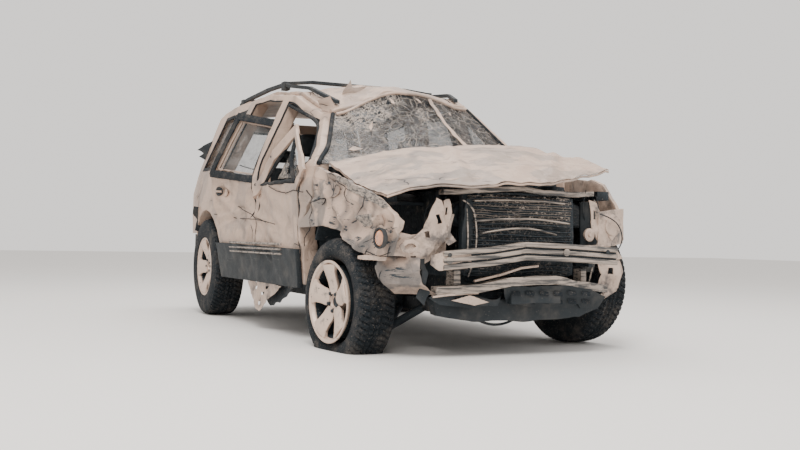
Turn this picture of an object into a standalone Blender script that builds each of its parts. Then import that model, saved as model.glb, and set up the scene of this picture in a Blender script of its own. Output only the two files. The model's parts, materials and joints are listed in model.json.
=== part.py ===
"""A crashed compact sport utility vehicle, four doors and a tailgate, standing on its four tyres.

Metres, +Z up. The front faces -Y and the car's right side is at -X. The origin is on the
ground, in the middle of the car's outer box. Most panels are drawn flat, as an outline with
holes in the side view (y along, z up), then laid on the body's curved side.
"""

import math

import bmesh
import bpy
from mathutils import Matrix, Vector
from mathutils.geometry import delaunay_2d_cdt

for thing in list(bpy.data.objects):
    bpy.data.objects.remove(thing, do_unlink=True)

# Driving dimensions
GAP = 0.0004            # between two pieces that touch
DOOR_GAP = 0.006        # round a door
FRAME_WALL = 0.10       # the body side's wall, pillars included
DOOR_WALL = 0.07
DOOR_DRAFT = 0.030      # how far a door's inner edge stands back from its outer edge
SKIN = 0.022            # fenders and hood
REAR_AXLE_Y = 1.31
FRONT_AXLE_Y = -1.31
WHEEL_X = 0.775         # middle of a wheel from the car's centre line
TYRE_RADIUS = 0.3675
TYRE_HALF_WIDTH = 0.1175
TREAD_HALF_WIDTH = 0.098
BEAD_RADIUS = 0.2115
FLANGE_RADIUS = 0.222
FLANGE_X = TREAD_HALF_WIDTH + GAP
FLAT_HUB_Z = 0.262      # the front right wheel has sunk on its flat tyre
FLAT_TYRE_RADIUS = 0.345
LEFT_FRONT_HUB = (0.730, -1.25)   # pushed in and back by the crash
STEER_AT_REST = 6.5     # degrees to the car's left
ARCH_RADIUS = 0.43
BELT_Z = 1.06
# The code below has the wheelbase's middle at x = y = 0. This is the middle of the outer box in it.
CENTRE = (-0.0271, 0.0643)

# Colours (linear) and finish: colour, roughness, metallic
MATERIALS = {
    "paint": ((0.56, 0.46, 0.39), 0.38, 0.35),
    "bare_metal": ((0.50, 0.45, 0.41), 0.35, 0.8),
    "dark_steel": ((0.035, 0.045, 0.055), 0.6, 0.5),
    "black_plastic": ((0.030, 0.038, 0.046), 0.65, 0.0),
    "rubber": ((0.022, 0.027, 0.032), 0.85, 0.0),
    "alloy": ((0.60, 0.52, 0.46), 0.32, 0.7),
    "glass": ((0.30, 0.33, 0.34), 0.08, 0.0),
    "crazed_glass": ((0.42, 0.40, 0.38), 0.45, 0.0),
    "trim": ((0.060, 0.065, 0.070), 0.85, 0.0),
    "lamp": ((0.50, 0.22, 0.12), 0.2, 0.0),
}

# Half width of the body at each height: (height, half width)
SIDE_SECTION = (
    (0.20, 0.820), (0.33, 0.848), (0.50, 0.870), (0.75, 0.885), (0.95, 0.880),
    (BELT_Z, 0.862), (1.60, 0.665), (1.75, 0.600),
)
# The tailgate's face at each height: (height, y)
REAR_SECTION = ((0.40, 2.05), (0.60, 2.045), (0.95, 2.00), (1.12, 1.90), (1.62, 1.745))
# Height of the roof's side edge along the car: (y, height)
ROOF_EDGE = ((-0.33, 1.600), (0.0, 1.622), (0.35, 1.622), (0.8, 1.614), (1.3, 1.602), (1.6, 1.582), (1.76, 1.560))
# How far the roof was crushed down: along the car (y, drop), then its share across (x, share)
ROOF_DROP_ALONG = ((-0.33, 0.200), (0.0, 0.075), (0.35, 0.020), (0.8, 0.0))
ROOF_DROP_ACROSS = ((-0.540, 1.0), (-0.515, 0.82), (-0.18, 0.40), (0.10, 0.42), (0.515, 0.52))
CRUSH_FROM_Z, CRUSH_FULL_Z = 1.02, 1.60
# How far the front pillars were pushed towards the middle, and the share of it by height: (height, share)
PUSH_RIGHT, PUSH_LEFT = 0.12, 0.19
PUSH_SHARE_RIGHT = ((1.03, 0.0), (1.20, 0.60), (1.60, 1.0))
PUSH_SHARE_LEFT = ((1.03, 0.0), (1.20, 1.0), (1.60, 0.78))
PUSH_ALONG = ((-0.33, 1.0), (0.0, 0.25), (0.35, 0.0))


def between(table, value):
    """Straight-line reading of a table of (place, amount) rows."""
    if value <= table[0][0]:
        return table[0][1]
    for (a, low), (b, high) in zip(table, table[1:]):
        if value <= b:
            return low + (high - low) * (value - a) / (b - a)
    return table[-1][1]


def half_width(y, z):
    """Half width of the undamaged body, drawn in towards the nose and the tail."""
    nose = max(0.0, -1.0 - y) / 1.1
    tail = max(0.0, y - 1.3) / 0.8
    return between(SIDE_SECTION, z) * (1 - 0.09 * nose * nose - 0.10 * tail * tail)


def crushed(x, y, z):
    """Where the crash left a point of the upper body."""
    share = min(1.0, max(0.0, (z - CRUSH_FROM_Z) / (CRUSH_FULL_Z - CRUSH_FROM_Z)))
    drop = between(ROOF_DROP_ALONG, y) * between(ROOF_DROP_ACROSS, x) * share
    push = PUSH_RIGHT * between(PUSH_SHARE_RIGHT, z) if x < 0 else -PUSH_LEFT * between(PUSH_SHARE_LEFT, z)
    push *= between(PUSH_ALONG, y) * min(1.0, abs(x) / 0.5)
    return Vector((x + push, y, z - drop))


def material(name):
    made = bpy.data.materials.get(name)
    if made is None:
        made = bpy.data.materials.new(name)
        made.use_nodes = True
        colour, roughness, metallic = MATERIALS[name]
        shader = made.node_tree.nodes["Principled BSDF"]
        shader.inputs["Base Color"].default_value = (*colour, 1)
        shader.inputs["Roughness"].default_value = roughness
        shader.inputs["Metallic"].default_value = metallic
    return made


def object_of(name, mesh_data, finish):
    """A new object from a bmesh, its faces turned outwards."""
    mesh_data.normal_update()
    bmesh.ops.recalc_face_normals(mesh_data, faces=mesh_data.faces)
    mesh = bpy.data.meshes.new(name)
    mesh_data.to_mesh(mesh)
    mesh_data.free()
    made = bpy.data.objects.new(name, mesh)
    bpy.context.scene.collection.objects.link(made)
    mesh.materials.append(material(finish))
    mesh.shade_smooth()
    mesh.set_sharp_from_angle(angle=math.radians(35))
    return made


def joined(name, finish, parts):
    """One solid from overlapping parts: the first takes the others by union, and they are hidden."""
    first = parts[0]
    first.name = name
    first.data.name = name
    first.data.materials.clear()
    first.data.materials.append(material(finish))
    for other in parts[1:]:
        union = first.modifiers.new("join", "BOOLEAN")
        union.operation = "UNION"
        union.object = other
        other.hide_render = True
        other.display_type = "WIRE"
    return first


def cut(target, cutter):
    """Takes a hidden cutter's shape out of an object."""
    away = target.modifiers.new("cut", "BOOLEAN")
    away.operation = "DIFFERENCE"
    away.object = cutter
    cutter.hide_render = True
    cutter.display_type = "WIRE"
    return target


# Outlines in a flat view

def arc(centre, radius, start, end, steps):
    """Points on an arc, angles in degrees from +u towards +v."""
    turn = [math.radians(start + (end - start) * i / steps) for i in range(steps + 1)]
    return [(centre[0] + radius * math.cos(a), centre[1] + radius * math.sin(a)) for a in turn]


def area(outline):
    return 0.5 * sum(a[0] * b[1] - b[0] * a[1] for a, b in zip(outline, outline[1:] + outline[:1]))


def offset(outline, distance):
    """The outline moved inwards by a distance, corners mitred."""
    sign = 1 if area(outline) > 0 else -1
    moved = []
    for before, here, after in zip(outline[-1:] + outline[:-1], outline, outline[1:] + outline[:1]):
        a = Vector((here[0] - before[0], here[1] - before[1])).normalized()
        b = Vector((after[0] - here[0], after[1] - here[1])).normalized()
        normal_a, normal_b = Vector((-a.y, a.x)) * sign, Vector((-b.y, b.x)) * sign
        middle = (normal_a + normal_b).normalized()
        reach = distance / max(0.35, middle.dot(normal_a))
        moved.append((here[0] + middle.x * reach, here[1] + middle.y * reach))
    return moved


def divided(outline, step):
    """The outline with its long edges divided, so that they can follow a curve."""
    points = []
    for a, b in zip(outline, outline[1:] + outline[:1]):
        count = max(1, math.ceil(math.dist(a, b) / step - 0.01))
        points += [(a[0] + (b[0] - a[0]) * i / count, a[1] + (b[1] - a[1]) * i / count) for i in range(count)]
    return points


def inside(point, outline):
    hit = False
    for a, b in zip(outline, outline[1:] + outline[:1]):
        if (a[1] > point[1]) != (b[1] > point[1]):
            if point[0] < a[0] + (b[0] - a[0]) * (point[1] - a[1]) / (b[1] - a[1]):
                hit = not hit
    return hit


def far_from(point, loops, distance):
    return all(math.dist(point, p) > distance for loop in loops for p in loop)


def filled(outline, holes, step):
    """Flat points and triangles of an outline with holes, with a square net of points inside."""
    loops = [divided(loop, step) for loop in [outline, *holes]]
    points, edges = [], []
    for loop in loops:
        start = len(points)
        points += loop
        edges += [(start + i, start + (i + 1) % len(loop)) for i in range(len(loop))]
    low = [min(p[k] for p in outline) for k in (0, 1)]
    high = [max(p[k] for p in outline) for k in (0, 1)]
    for i in range(1, math.ceil((high[0] - low[0]) / step)):
        for j in range(1, math.ceil((high[1] - low[1]) / step)):
            net = (low[0] + i * step, low[1] + j * step)
            if inside(net, loops[0]) and not any(inside(net, hole) for hole in loops[1:]):
                if far_from(net, loops, step * 0.6):
                    points.append(net)
    found, _, faces, *_ = delaunay_2d_cdt([Vector(p) for p in points], edges, [], 0, 1e-7)
    kept = []
    for face in faces:
        middle = [sum(found[i][k] for i in face) / len(face) for k in (0, 1)]
        if inside(middle, loops[0]) and not any(inside(middle, hole) for hole in loops[1:]):
            kept.append(face)
    return [tuple(p) for p in found], kept


def walled(name, finish, flat, outer, inner):
    """A closed panel: outer and inner place each flat point on the panel's two faces."""
    points, faces = flat
    made = bmesh.new()
    outside = [made.verts.new(outer(*p)) for p in points]
    within = [made.verts.new(inner(*p)) for p in points]
    uses = {}
    for face in faces:
        made.faces.new([outside[i] for i in face])
        made.faces.new([within[i] for i in reversed(face)])
        for a, b in zip(face, face[1:] + face[:1]):
            uses.setdefault(frozenset((a, b)), []).append((a, b))
    for ends in uses.values():
        if len(ends) == 1:
            a, b = ends[0]
            made.faces.new((outside[b], outside[a], within[a], within[b]))
    loose = [v for v in made.verts if not v.link_faces]
    bmesh.ops.delete(made, geom=loose, context="VERTS")
    return object_of(name, made, finish)


def side_panel(name, finish, side, outline, holes=(), wall=0.02, out=0.0, step=0.25, draft=0.0, warp=None):
    """A panel of the body's side: side is -1 on the right, out lifts it off the body's surface.

    warp, where given, takes the place of the roof's crush.
    """
    flat = filled(outline, list(holes), step)
    rim = offset(divided(outline, step), draft) if draft else None
    rim_of = dict(zip([(round(a, 5), round(b, 5)) for a, b in divided(outline, step)], rim or []))

    def place(y, z, depth):
        x = side * (half_width(y, z) + out - depth)
        return warp(Vector((x, y, z)), side) if warp else crushed(x, y, z)

    def outer(y, z):
        return place(y, z, 0.0)

    def inner(y, z):
        y, z = rim_of.get((round(y, 5), round(z, 5)), (y, z))
        return place(y, z, wall)

    return walled(name, finish, flat, outer, inner)


# Simple solids

def block(name, finish, low, high):
    made = bmesh.new()
    bmesh.ops.create_cube(made, size=1)
    size = [b - a for a, b in zip(low, high)]
    middle = [(a + b) / 2 for a, b in zip(low, high)]
    made.transform(Matrix.Translation(middle) @ Matrix.Diagonal((*size, 1)))
    return object_of(name, made, finish)


def rod(name, finish, start, end, radius, end_radius=None, sides=12):
    """A round bar or a cone between two points."""
    start, end = Vector(start), Vector(end)
    along = end - start
    made = bmesh.new()
    bmesh.ops.create_cone(
        made, cap_ends=True, segments=sides, radius1=radius,
        radius2=radius if end_radius is None else end_radius, depth=along.length,
    )
    made.transform(Matrix.Translation((start + end) / 2) @ along.to_track_quat("Z", "Y").to_matrix().to_4x4())
    return object_of(name, made, finish)


def swept(name, finish, sections):
    """A closed solid through rings of points, each ring with the same number of points."""
    made = bmesh.new()
    rings = [[made.verts.new(p) for p in ring] for ring in sections]
    for a, b in zip(rings, rings[1:]):
        for i in range(len(a)):
            j = (i + 1) % len(a)
            made.faces.new((a[i], a[j], b[j], b[i]))
    made.faces.new(rings[0])
    made.faces.new(list(reversed(rings[-1])))
    return object_of(name, made, finish)


def extruded(name, finish, outline, axis, low, high):
    """A flat outline pushed from low to high along x, y or z. The outline holds the other two, in order."""
    rings = []
    for place in (low, high):
        ring = []
        for point in outline:
            values = list(point)
            values.insert("xyz".index(axis), place)
            ring.append(values)
        rings.append(ring)
    return swept(name, finish, rings)


def turned(name, finish, profile, sides=32):
    """A closed ring profile of (x, radius) turned about the X axis, with the radii at the middles of its flats."""
    made = bmesh.new()
    corner = 1 / math.cos(math.pi / sides)
    rings = []
    for i in range(sides):
        a = 2 * math.pi * (i + 0.5) / sides
        rings.append([made.verts.new((x, r * corner * math.sin(a), r * corner * math.cos(a))) for x, r in profile])
    for i, ring in enumerate(rings):
        after = rings[(i + 1) % sides]
        for k in range(len(profile)):
            m = (k + 1) % len(profile)
            made.faces.new((ring[k], ring[m], after[m], after[k]))
    return object_of(name, made, finish)


def bar_along(name, finish, path, across, up):
    """A rectangular bar of half sizes across and up through the path's points, square to the X axis."""
    rings = []
    for x, y, z in path:
        rings.append([(x, y - across, z - up), (x, y + across, z - up), (x, y + across, z + up), (x, y - across, z + up)])
    return swept(name, finish, rings)


def strip(name, finish, path, half, thick):
    """A flat strip near the body's side: half its width in the side view, thick half its depth along x."""
    rings = []
    for i, (x, y, z) in enumerate(path):
        before, after = path[max(0, i - 1)], path[min(len(path) - 1, i + 1)]
        along = Vector((after[1] - before[1], after[2] - before[2])).normalized() * half
        rings.append([
            (x - thick, y - along.y, z + along.x), (x + thick, y - along.y, z + along.x),
            (x + thick, y + along.y, z - along.x), (x - thick, y + along.y, z - along.x),
        ])
    return swept(name, finish, rings)


# Side outlines, (y, z)
SILL_Z = 0.33
LOWER_FRONT_Y = -0.828
ROOF_STATIONS = (-0.33, 0.0, 0.35, 0.8, 1.3, 1.6, 1.76)
BODY_SIDE = (
    [(LOWER_FRONT_Y, SILL_Z), (LOWER_FRONT_Y, 0.70), (-0.94, 0.82), (-0.96, 1.02)]
    + [(y, between(ROOF_EDGE, y)) for y in ROOF_STATIONS]
    + [(1.88, 1.15), (1.99, 0.95), (2.03, 0.622), (1.66, 0.622)]
    + arc((REAR_AXLE_Y, 0.37), ARCH_RADIUS, 30, 171, 9)
    + [(0.87, SILL_Z)]
)
FRONT_APERTURE = [(-0.790, 0.43), (-0.805, 1.00), (-0.840, 1.06), (-0.330, 1.530), (0.07, 1.575), (0.09, 0.43)]
REAR_APERTURE = [
    (0.19, 0.43), (0.17, 1.58), (0.74, 1.57), (0.98, 1.08), (1.00, 0.95), (0.945, 0.80), (0.86, 0.62), (0.81, 0.43),
]
QUARTER_APERTURE = [(1.10, 1.10), (0.89, 1.54), (1.45, 1.525), (1.66, 1.12)]
FRONT_WINDOW = [(-0.740, 1.085), (-0.300, 1.485), (0.015, 1.520), (0.025, 1.085)]
REAR_WINDOW = [(0.240, 1.070), (0.225, 1.525), (0.700, 1.518), (0.915, 1.080)]
# The right doors as the crash left them
CRUSHED_FRONT_DOOR = [(-0.782, 0.44), (-0.787, 0.80), (-0.790, 0.915), (-0.33, 0.940), (0.077, 0.935), (0.08, 0.44)]
# Its window frame, bent to a peak: (x, y, z) of the front leg and of the torn rear leg
BENT_FRONT_LEG = [(-0.874, -0.740, 0.885), (-0.899, -0.830, 0.935), (-0.900, -0.905, 0.990), (-0.868, -0.770, 1.115), (-0.815, -0.56, 1.262)]
BENT_REAR_LEG = [(-0.815, -0.60, 1.258), (-0.860, -0.30, 1.120), (-0.878, -0.06, 0.945), (-0.903, 0.09, 0.885)]
# The rear right door, whose upper rear corner was pulled out over the pillar behind it
PULLED_REAR_DOOR = REAR_APERTURE[:2] + [(0.86, 1.565)] + REAR_APERTURE[3:]
PULLED_WINDOW = [(0.240, 1.070), (0.225, 1.525), (0.810, 1.520), (0.915, 1.080)]
# How the rear right door was pushed at its corners: outwards and up, at its front edge and at its rear edge
REAR_DOOR_Y, REAR_DOOR_Z = (0.18, 0.98), (0.60, 1.06, 1.57)
REAR_DOOR_PUSH_FRONT = ((0.60, 0.0, 0.0), (1.06, -0.055, -0.075), (1.57, -0.070, -0.185))
REAR_DOOR_PUSH_REAR = ((0.60, 0.0, 0.0), (1.06, 0.090, 0.0), (1.57, 0.125, -0.030))


def push_rear_door(where, side):
    """The rear right door leans out at its rear edge, and in and down at its upper front corner."""
    s = min(1.0, max(0.0, (where.y - REAR_DOOR_Y[0]) / (REAR_DOOR_Y[1] - REAR_DOOR_Y[0])))
    moved = []
    for column in (1, 2):
        front = between([(row[0], row[column]) for row in REAR_DOOR_PUSH_FRONT], where.z)
        rear = between([(row[0], row[column]) for row in REAR_DOOR_PUSH_REAR], where.z)
        moved.append(front + (rear - front) * s)
    return where + Vector((side * moved[0], 0, moved[1]))


def unmoved(where, side):
    return where


def pushed_fender(where, side):
    """The left fender's nose was pushed in."""
    return where + Vector((-0.075 * min(1.0, max(0.0, (-1.0 - where.y) / 0.6)), 0, 0))


# Hinge lugs on the doors' front edges: (lowest z, height)
LUGS = ((0.60, 0.04), (0.88, 0.04))


def lugs(side, aperture, near_x=0.848):
    """Blocks from a door's front edge to its pillar, where the hinges are."""
    (low_y, low_z), (high_y, high_z) = aperture[0], aperture[1]
    made = []
    for z, height in LUGS:
        y = low_y + (high_y - low_y) * (z - low_z) / (high_z - low_z)
        near, far = sorted((side * near_x, side * (near_x + 0.022)))
        made.append(block("lug", "paint", (near, y + GAP, z), (far, y + 0.030, z + height)))
    return made


def body_sides():
    for side, name in ((-1, "right"), (1, "left")):
        side_panel(
            "side_frame_" + name, "paint", side, BODY_SIDE,
            [FRONT_APERTURE, REAR_APERTURE, QUARTER_APERTURE], wall=FRAME_WALL, step=0.30,
        )
        pane = offset(QUARTER_APERTURE, GAP * 2)
        side_panel("quarter_glass_" + name, "glass", side, pane, wall=0.006, out=-0.02, step=0.30)


def doors():
    shapes = {"front": (FRONT_APERTURE, FRONT_WINDOW), "rear": (REAR_APERTURE, REAR_WINDOW)}
    for place, (aperture, window) in shapes.items():
        outline = offset(aperture, DOOR_GAP)
        leaf = side_panel(
            "leaf", "paint", 1, outline, [window], wall=DOOR_WALL, step=0.32, draft=DOOR_DRAFT,
        )
        joined(f"door_{place}_left", "paint", [leaf, *lugs(1, aperture)])
        pane = offset(window, 0.0009)
        side_panel(f"door_glass_{place}_left", "glass", 1, pane, wall=0.006, out=-0.035, step=0.32)
    leaf = side_panel("leaf", "paint", -1, CRUSHED_FRONT_DOOR, wall=0.07, step=0.32, warp=unmoved)
    joined("door_front_right", "paint", [
        leaf,
        strip("front_leg", "paint", BENT_FRONT_LEG, 0.022, 0.008),
        strip("rear_leg", "paint", BENT_REAR_LEG, 0.034, 0.009),
        *lugs(-1, FRONT_APERTURE),
    ])
    outline = offset(PULLED_REAR_DOOR, DOOR_GAP)
    leaf = side_panel(
        "leaf", "paint", -1, outline, [PULLED_WINDOW], wall=0.045, step=0.32, draft=0.010, warp=push_rear_door,
    )
    joined("door_rear_right", "paint", [leaf, *lugs(-1, REAR_APERTURE, 0.828)])
    side_panel(
        "door_glass_rear_right", "glass", -1, offset(PULLED_WINDOW, 0.0009), wall=0.006, out=-0.03, step=0.32,
        warp=push_rear_door,
    )


CLAD_TOP = 0.555


CLIP_STATIONS = (-0.60, 0.0, 0.60)


def clips(side):
    """The cladding's clips, which reach to the flat strip of the sill below the doors."""
    made = []
    for y in CLIP_STATIONS:
        near, far = sorted((side * 0.8568, side * 0.872))
        made.append(block("clip", "black_plastic", (near, y - 0.02, 0.345), (far, y + 0.02, 0.395)))
    return made


def sill_cladding():
    right = [(-0.80, 0.31), (-0.80, 0.535), (0.80, CLAD_TOP), (0.905, CLAD_TOP), (0.84, 0.31)]
    leaf = side_panel("leaf", "black_plastic", -1, right, wall=0.028, out=0.034, step=0.35)
    joined("cladding_right", "black_plastic", [leaf, *clips(-1)])
    left = [(-0.826, 0.31), (-0.826, 0.425), (0.875, 0.425), (0.84, 0.31)]
    leaf = side_panel("leaf", "black_plastic", 1, left, wall=0.028, out=0.034, step=0.35)
    joined("cladding_left", "black_plastic", [leaf, *clips(1)])
    flap = [(0.27, 0.3094), (0.10, 0.115), (-0.02, 0.130), (-0.47, 0.3094)]
    side_panel("sill_flap_right", "paint", -1, flap, wall=0.012, out=0.024, step=0.5)


ROOF_WALL = 0.026
ROOF_CROWN = 0.045
ROOF_X_STATIONS = (-0.612, -0.515, -0.18, 0.10, 0.515, 0.612)


ROOF_LIFT = 0.0006      # over the side frames
ROOF_END_Y = 1.74


def roof_crush(x, y, z):
    """The crush at the roof's height, for the roof and what stands on it."""
    edge = crushed(x, y, CRUSH_FULL_Z + 0.03)
    return Vector((edge.x, y, z + edge.z - CRUSH_FULL_Z - 0.03))


def roof():
    """A sheet over both side frames, in strips between the same stations as they have."""
    def place(x, y, lift):
        z = between(ROOF_EDGE, y) + ROOF_CROWN * (1 - min(1.0, (x / 0.515) ** 2)) + ROOF_LIFT + lift
        return roof_crush(x, y, z)

    points = [(x, y) for y in ROOF_STATIONS[:-1] + (ROOF_END_Y,) for x in ROOF_X_STATIONS]
    across = len(ROOF_X_STATIONS)
    faces = []
    for j in range(len(ROOF_STATIONS) - 1):
        for i in range(across - 1):
            a = j * across + i
            faces.append((a, a + 1, a + 1 + across, a + across))
    walled("roof_panel", "paint", (points, faces), lambda x, y: place(x, y, ROOF_WALL), lambda x, y: place(x, y, 0))


RAIL_X = 0.555
RACK_STATIONS = ((-0.30, 0.018), (0.0, 0.018), (0.35, 0.026), (0.42, 0.044), (0.8, 0.044), (1.3, 0.044), (1.42, 0.044), (1.52, 0.034))
FOOT_STATIONS = (0.42, 1.42)
CROSSBAR_STATIONS = (0.42, 1.42)


def roof_top(x, y):
    """The roof's upper face, straight between its stations across the car."""
    def station(x):
        z = between(ROOF_EDGE, y) + ROOF_CROWN * (1 - min(1.0, (x / 0.515) ** 2)) + ROOF_WALL + ROOF_LIFT
        return roof_crush(x, y, z)

    low = max(k for k, place in enumerate(ROOF_X_STATIONS[:-1]) if place <= x)
    a, b = ROOF_X_STATIONS[low], ROOF_X_STATIONS[low + 1]
    return station(a).lerp(station(b), (x - a) / (b - a))


def roof_rack():
    """Two rails along the roof's edges on feet, and two crossbars between them."""
    parts = []
    for side in (-1, 1):
        rings = []
        for y, lift in RACK_STATIONS:
            x, _, z = roof_top(side * RAIL_X, y) + Vector((0, 0, lift))
            low, high = z - 0.012, z + 0.012
            rings.append([(x - 0.014, y, low), (x + 0.014, y, low), (x + 0.014, y, high), (x - 0.014, y, high)])
        parts.append(swept("rail", "black_plastic", rings))
        for y in FOOT_STATIONS:
            under = [roof_top(side * RAIL_X + dx, y + dy) for dx in (-0.024, 0.024) for dy in (-0.035, 0.035)]
            x, z = roof_top(side * RAIL_X, y).x, max(place.z for place in under) + GAP
            parts.append(block("foot", "black_plastic", (x - 0.022, y - 0.035, z), (x + 0.022, y + 0.035, z + 0.058)))
    for y in CROSSBAR_STATIONS:
        clear = max(roof_top(-0.18, y).z, roof_top(0.10, y).z) + 0.022
        right, left = roof_top(-RAIL_X, y), roof_top(RAIL_X, y)
        path = [(right.x, y, right.z + 0.050), (-0.36, y, clear), (0.36, y, clear), (left.x, y, left.z + 0.050)]
        parts.append(bar_along("crossbar", "black_plastic", path, 0.022, 0.010))
    joined("roof_rack", "black_plastic", parts)


GLASS_Z = (1.026, 1.592)       # the screen's lower and upper edge, before the crush
GLASS_LAP = 0.060              # how much of the pillars' width the screen leaves bare
GLASS_WALL = 0.009
GLASS_SEAT = 0.0007            # bead of glue between pillars and screen


def pillar_front(z):
    """The front pillars' forward face, as in BODY_SIDE."""
    return -0.96 + (z - 1.02) * (-0.33 + 0.96) / (1.600 - 1.02)


def windshield():
    """The laminated screen, glued on the pillars, bowed forwards and sagging at its right side."""
    def place(u, v, depth):
        z = GLASS_Z[0] + (GLASS_Z[1] - GLASS_Z[0]) * v
        half = between(SIDE_SECTION, z) - GLASS_LAP
        bow = 0.075 * (1 - u * u)
        sag = 0.055 * math.sin(math.pi * v) * max(0.0, 1 - ((u + 0.2) / 0.65) ** 2)
        y = pillar_front(z) - GLASS_SEAT - GLASS_WALL * 1.36 - bow + sag + depth * 1.36
        lift = ROOF_CROWN * v * (1 - min(1.0, (u * half / 0.515) ** 2))
        return crushed(u * half, y, z) + Vector((0, 0, lift))

    steps, rows = 10, 6
    points = [(-1 + 2 * i / steps, j / rows) for j in range(rows + 1) for i in range(steps + 1)]
    faces = []
    for j in range(rows):
        for i in range(steps):
            a = j * (steps + 1) + i
            faces.append((a, a + 1, a + steps + 2, a + steps + 1))
    net = (points, faces)
    walled("windshield", "crazed_glass", net, lambda u, v: place(u, v, 0), lambda u, v: place(u, v, GLASS_WALL))


TAIL_TOP_Z = 1.545
TAIL_LOW_Z = 0.63
TAIL_WALL = 0.07
TAIL_HINGE = (0.0, 1.77, 1.555)


def tailgate():
    def half(z):
        return half_width(2.0, z) - FRAME_WALL - 0.022

    outline = [(-half(TAIL_LOW_Z), TAIL_LOW_Z), (half(TAIL_LOW_Z), TAIL_LOW_Z), (half(0.95), 0.95), (half(BELT_Z), BELT_Z),
               (half(TAIL_TOP_Z), TAIL_TOP_Z), (-half(TAIL_TOP_Z), TAIL_TOP_Z), (-half(BELT_Z), BELT_Z), (-half(0.95), 0.95)]
    window = [(-0.58, 1.10), (0.58, 1.10), (0.47, 1.47), (-0.47, 1.47)]

    def face(inset):
        return lambda x, z: Vector((x, between(REAR_SECTION, z) - inset - 0.045 * (x / 0.8) ** 2, z))

    leaf = walled("leaf", "paint", filled(outline, [window], 0.34), face(0.0), face(TAIL_WALL))
    hinges = [block("hinge", "paint", (x - 0.02, 1.710, 1.520), (x + 0.02, 1.7385, 1.5730)) for x in (-0.40, 0.40)]
    joined("tailgate", "paint", [leaf, *hinges])
    walled("tailgate_glass", "glass", filled(offset(window, 0.0009), [], 0.34), face(0.02), face(0.026))


def rear_bumper():
    outer = [(-0.800, 1.86), (-0.800, 1.96), (-0.71, 2.06), (-0.38, 2.10), (0.38, 2.10), (0.71, 2.06), (0.815, 1.94), (0.820, 1.80)]
    inner = [(0.760, 1.80), (0.720, 2.0256), (-0.705, 2.0256), (-0.745, 1.86)]
    extruded("rear_bumper", "black_plastic", outer + inner, "z", 0.41, 0.615)
    for side, name in ((-1, "right"), (1, "left")):
        rings = []
        for z, rear in ((0.90, 1.9961), (0.95, 1.9900), (1.10, 1.9075), (1.15, 1.8800), (1.24, 1.8555)):
            inward = half_width(2.0, 0.95) - half_width(2.0, z)
            near, far = side * (0.703 - inward), side * (0.790 - inward)
            rings.append([(near, rear + GAP * 2, z), (far, rear + GAP * 2, z), (far, rear + 0.018, z), (near, rear + 0.040, z)])
        swept("tail_lamp_" + name, "lamp", rings)


def floor():
    """The floor pan with its sills, the fuel tank under it, the kick-up over the rear axle and the rear wheel houses."""
    profile = [(-0.775, 0.34), (0.72, 0.34), (0.90, 0.485), (2.025, 0.485), (2.025, 0.43), (0.93, 0.42), (0.75, 0.29), (-0.775, 0.29)]
    parts = [extruded("pan", "dark_steel", profile, "x", -0.62, 0.62)]
    for side in (-1, 1):
        low, high = sorted((side * 0.60, side * 0.7472))
        parts.append(block("sill", "dark_steel", (low, -0.775, 0.292), (high, 0.80, 0.338)))
        ring = arc((REAR_AXLE_Y, 0.37), 0.47, 12, 168, 10) + list(reversed(arc((REAR_AXLE_Y, 0.37), 0.44, 12, 168, 10)))
        low, high = sorted((side * 0.60, side * 0.732))
        parts.append(extruded("house", "dark_steel", ring, "x", low, high))
        wall = arc((REAR_AXLE_Y, 0.37), 0.455, 8, 172, 10)
        low, high = sorted((side * 0.60, side * 0.618))
        parts.append(extruded("house_wall", "dark_steel", wall, "x", low, high))
        low, high = sorted((side * 0.694, side * 0.60))
        parts.append(block("cargo_side", "dark_steel", (low, 1.74, 0.44), (high, 2.020, 0.48)))
    joined("floor_pan", "dark_steel", parts)
    block("fuel_tank", "black_plastic", (-0.42, 0.10, 0.205), (0.10, 0.70, 0.2896))


def firewall():
    parts = [
        block("wall", "dark_steel", (-0.744, -0.822, 0.345), (0.744, -0.785, 1.0)),
        block("cowl", "dark_steel", (-0.740, -1.050, 0.90), (0.740, -0.80, 0.985)),
        block("hinge_right", "dark_steel", (-0.735, -1.034, 0.975), (-0.715, -0.995, 1.0166)),
        rod("hinge_left", "dark_steel", (0.58, -1.045, 0.94), (0.58, -0.985, 1.1626), 0.010, sides=8),
    ]
    joined("firewall", "dark_steel", parts)


APRON_WALL_X = (0.40, 0.42)
RAIL_Z = (0.42, 0.54)
RAIL_NOSE_Y = {"right": -1.80, "left": -1.755}
LINER_RADIUS = 0.457
STRUT_TOP = (0.565, 0.8325)


UPPER_RAIL_Z = {"right": (0.795, 0.842), "left": (0.845, 0.895)}


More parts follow.
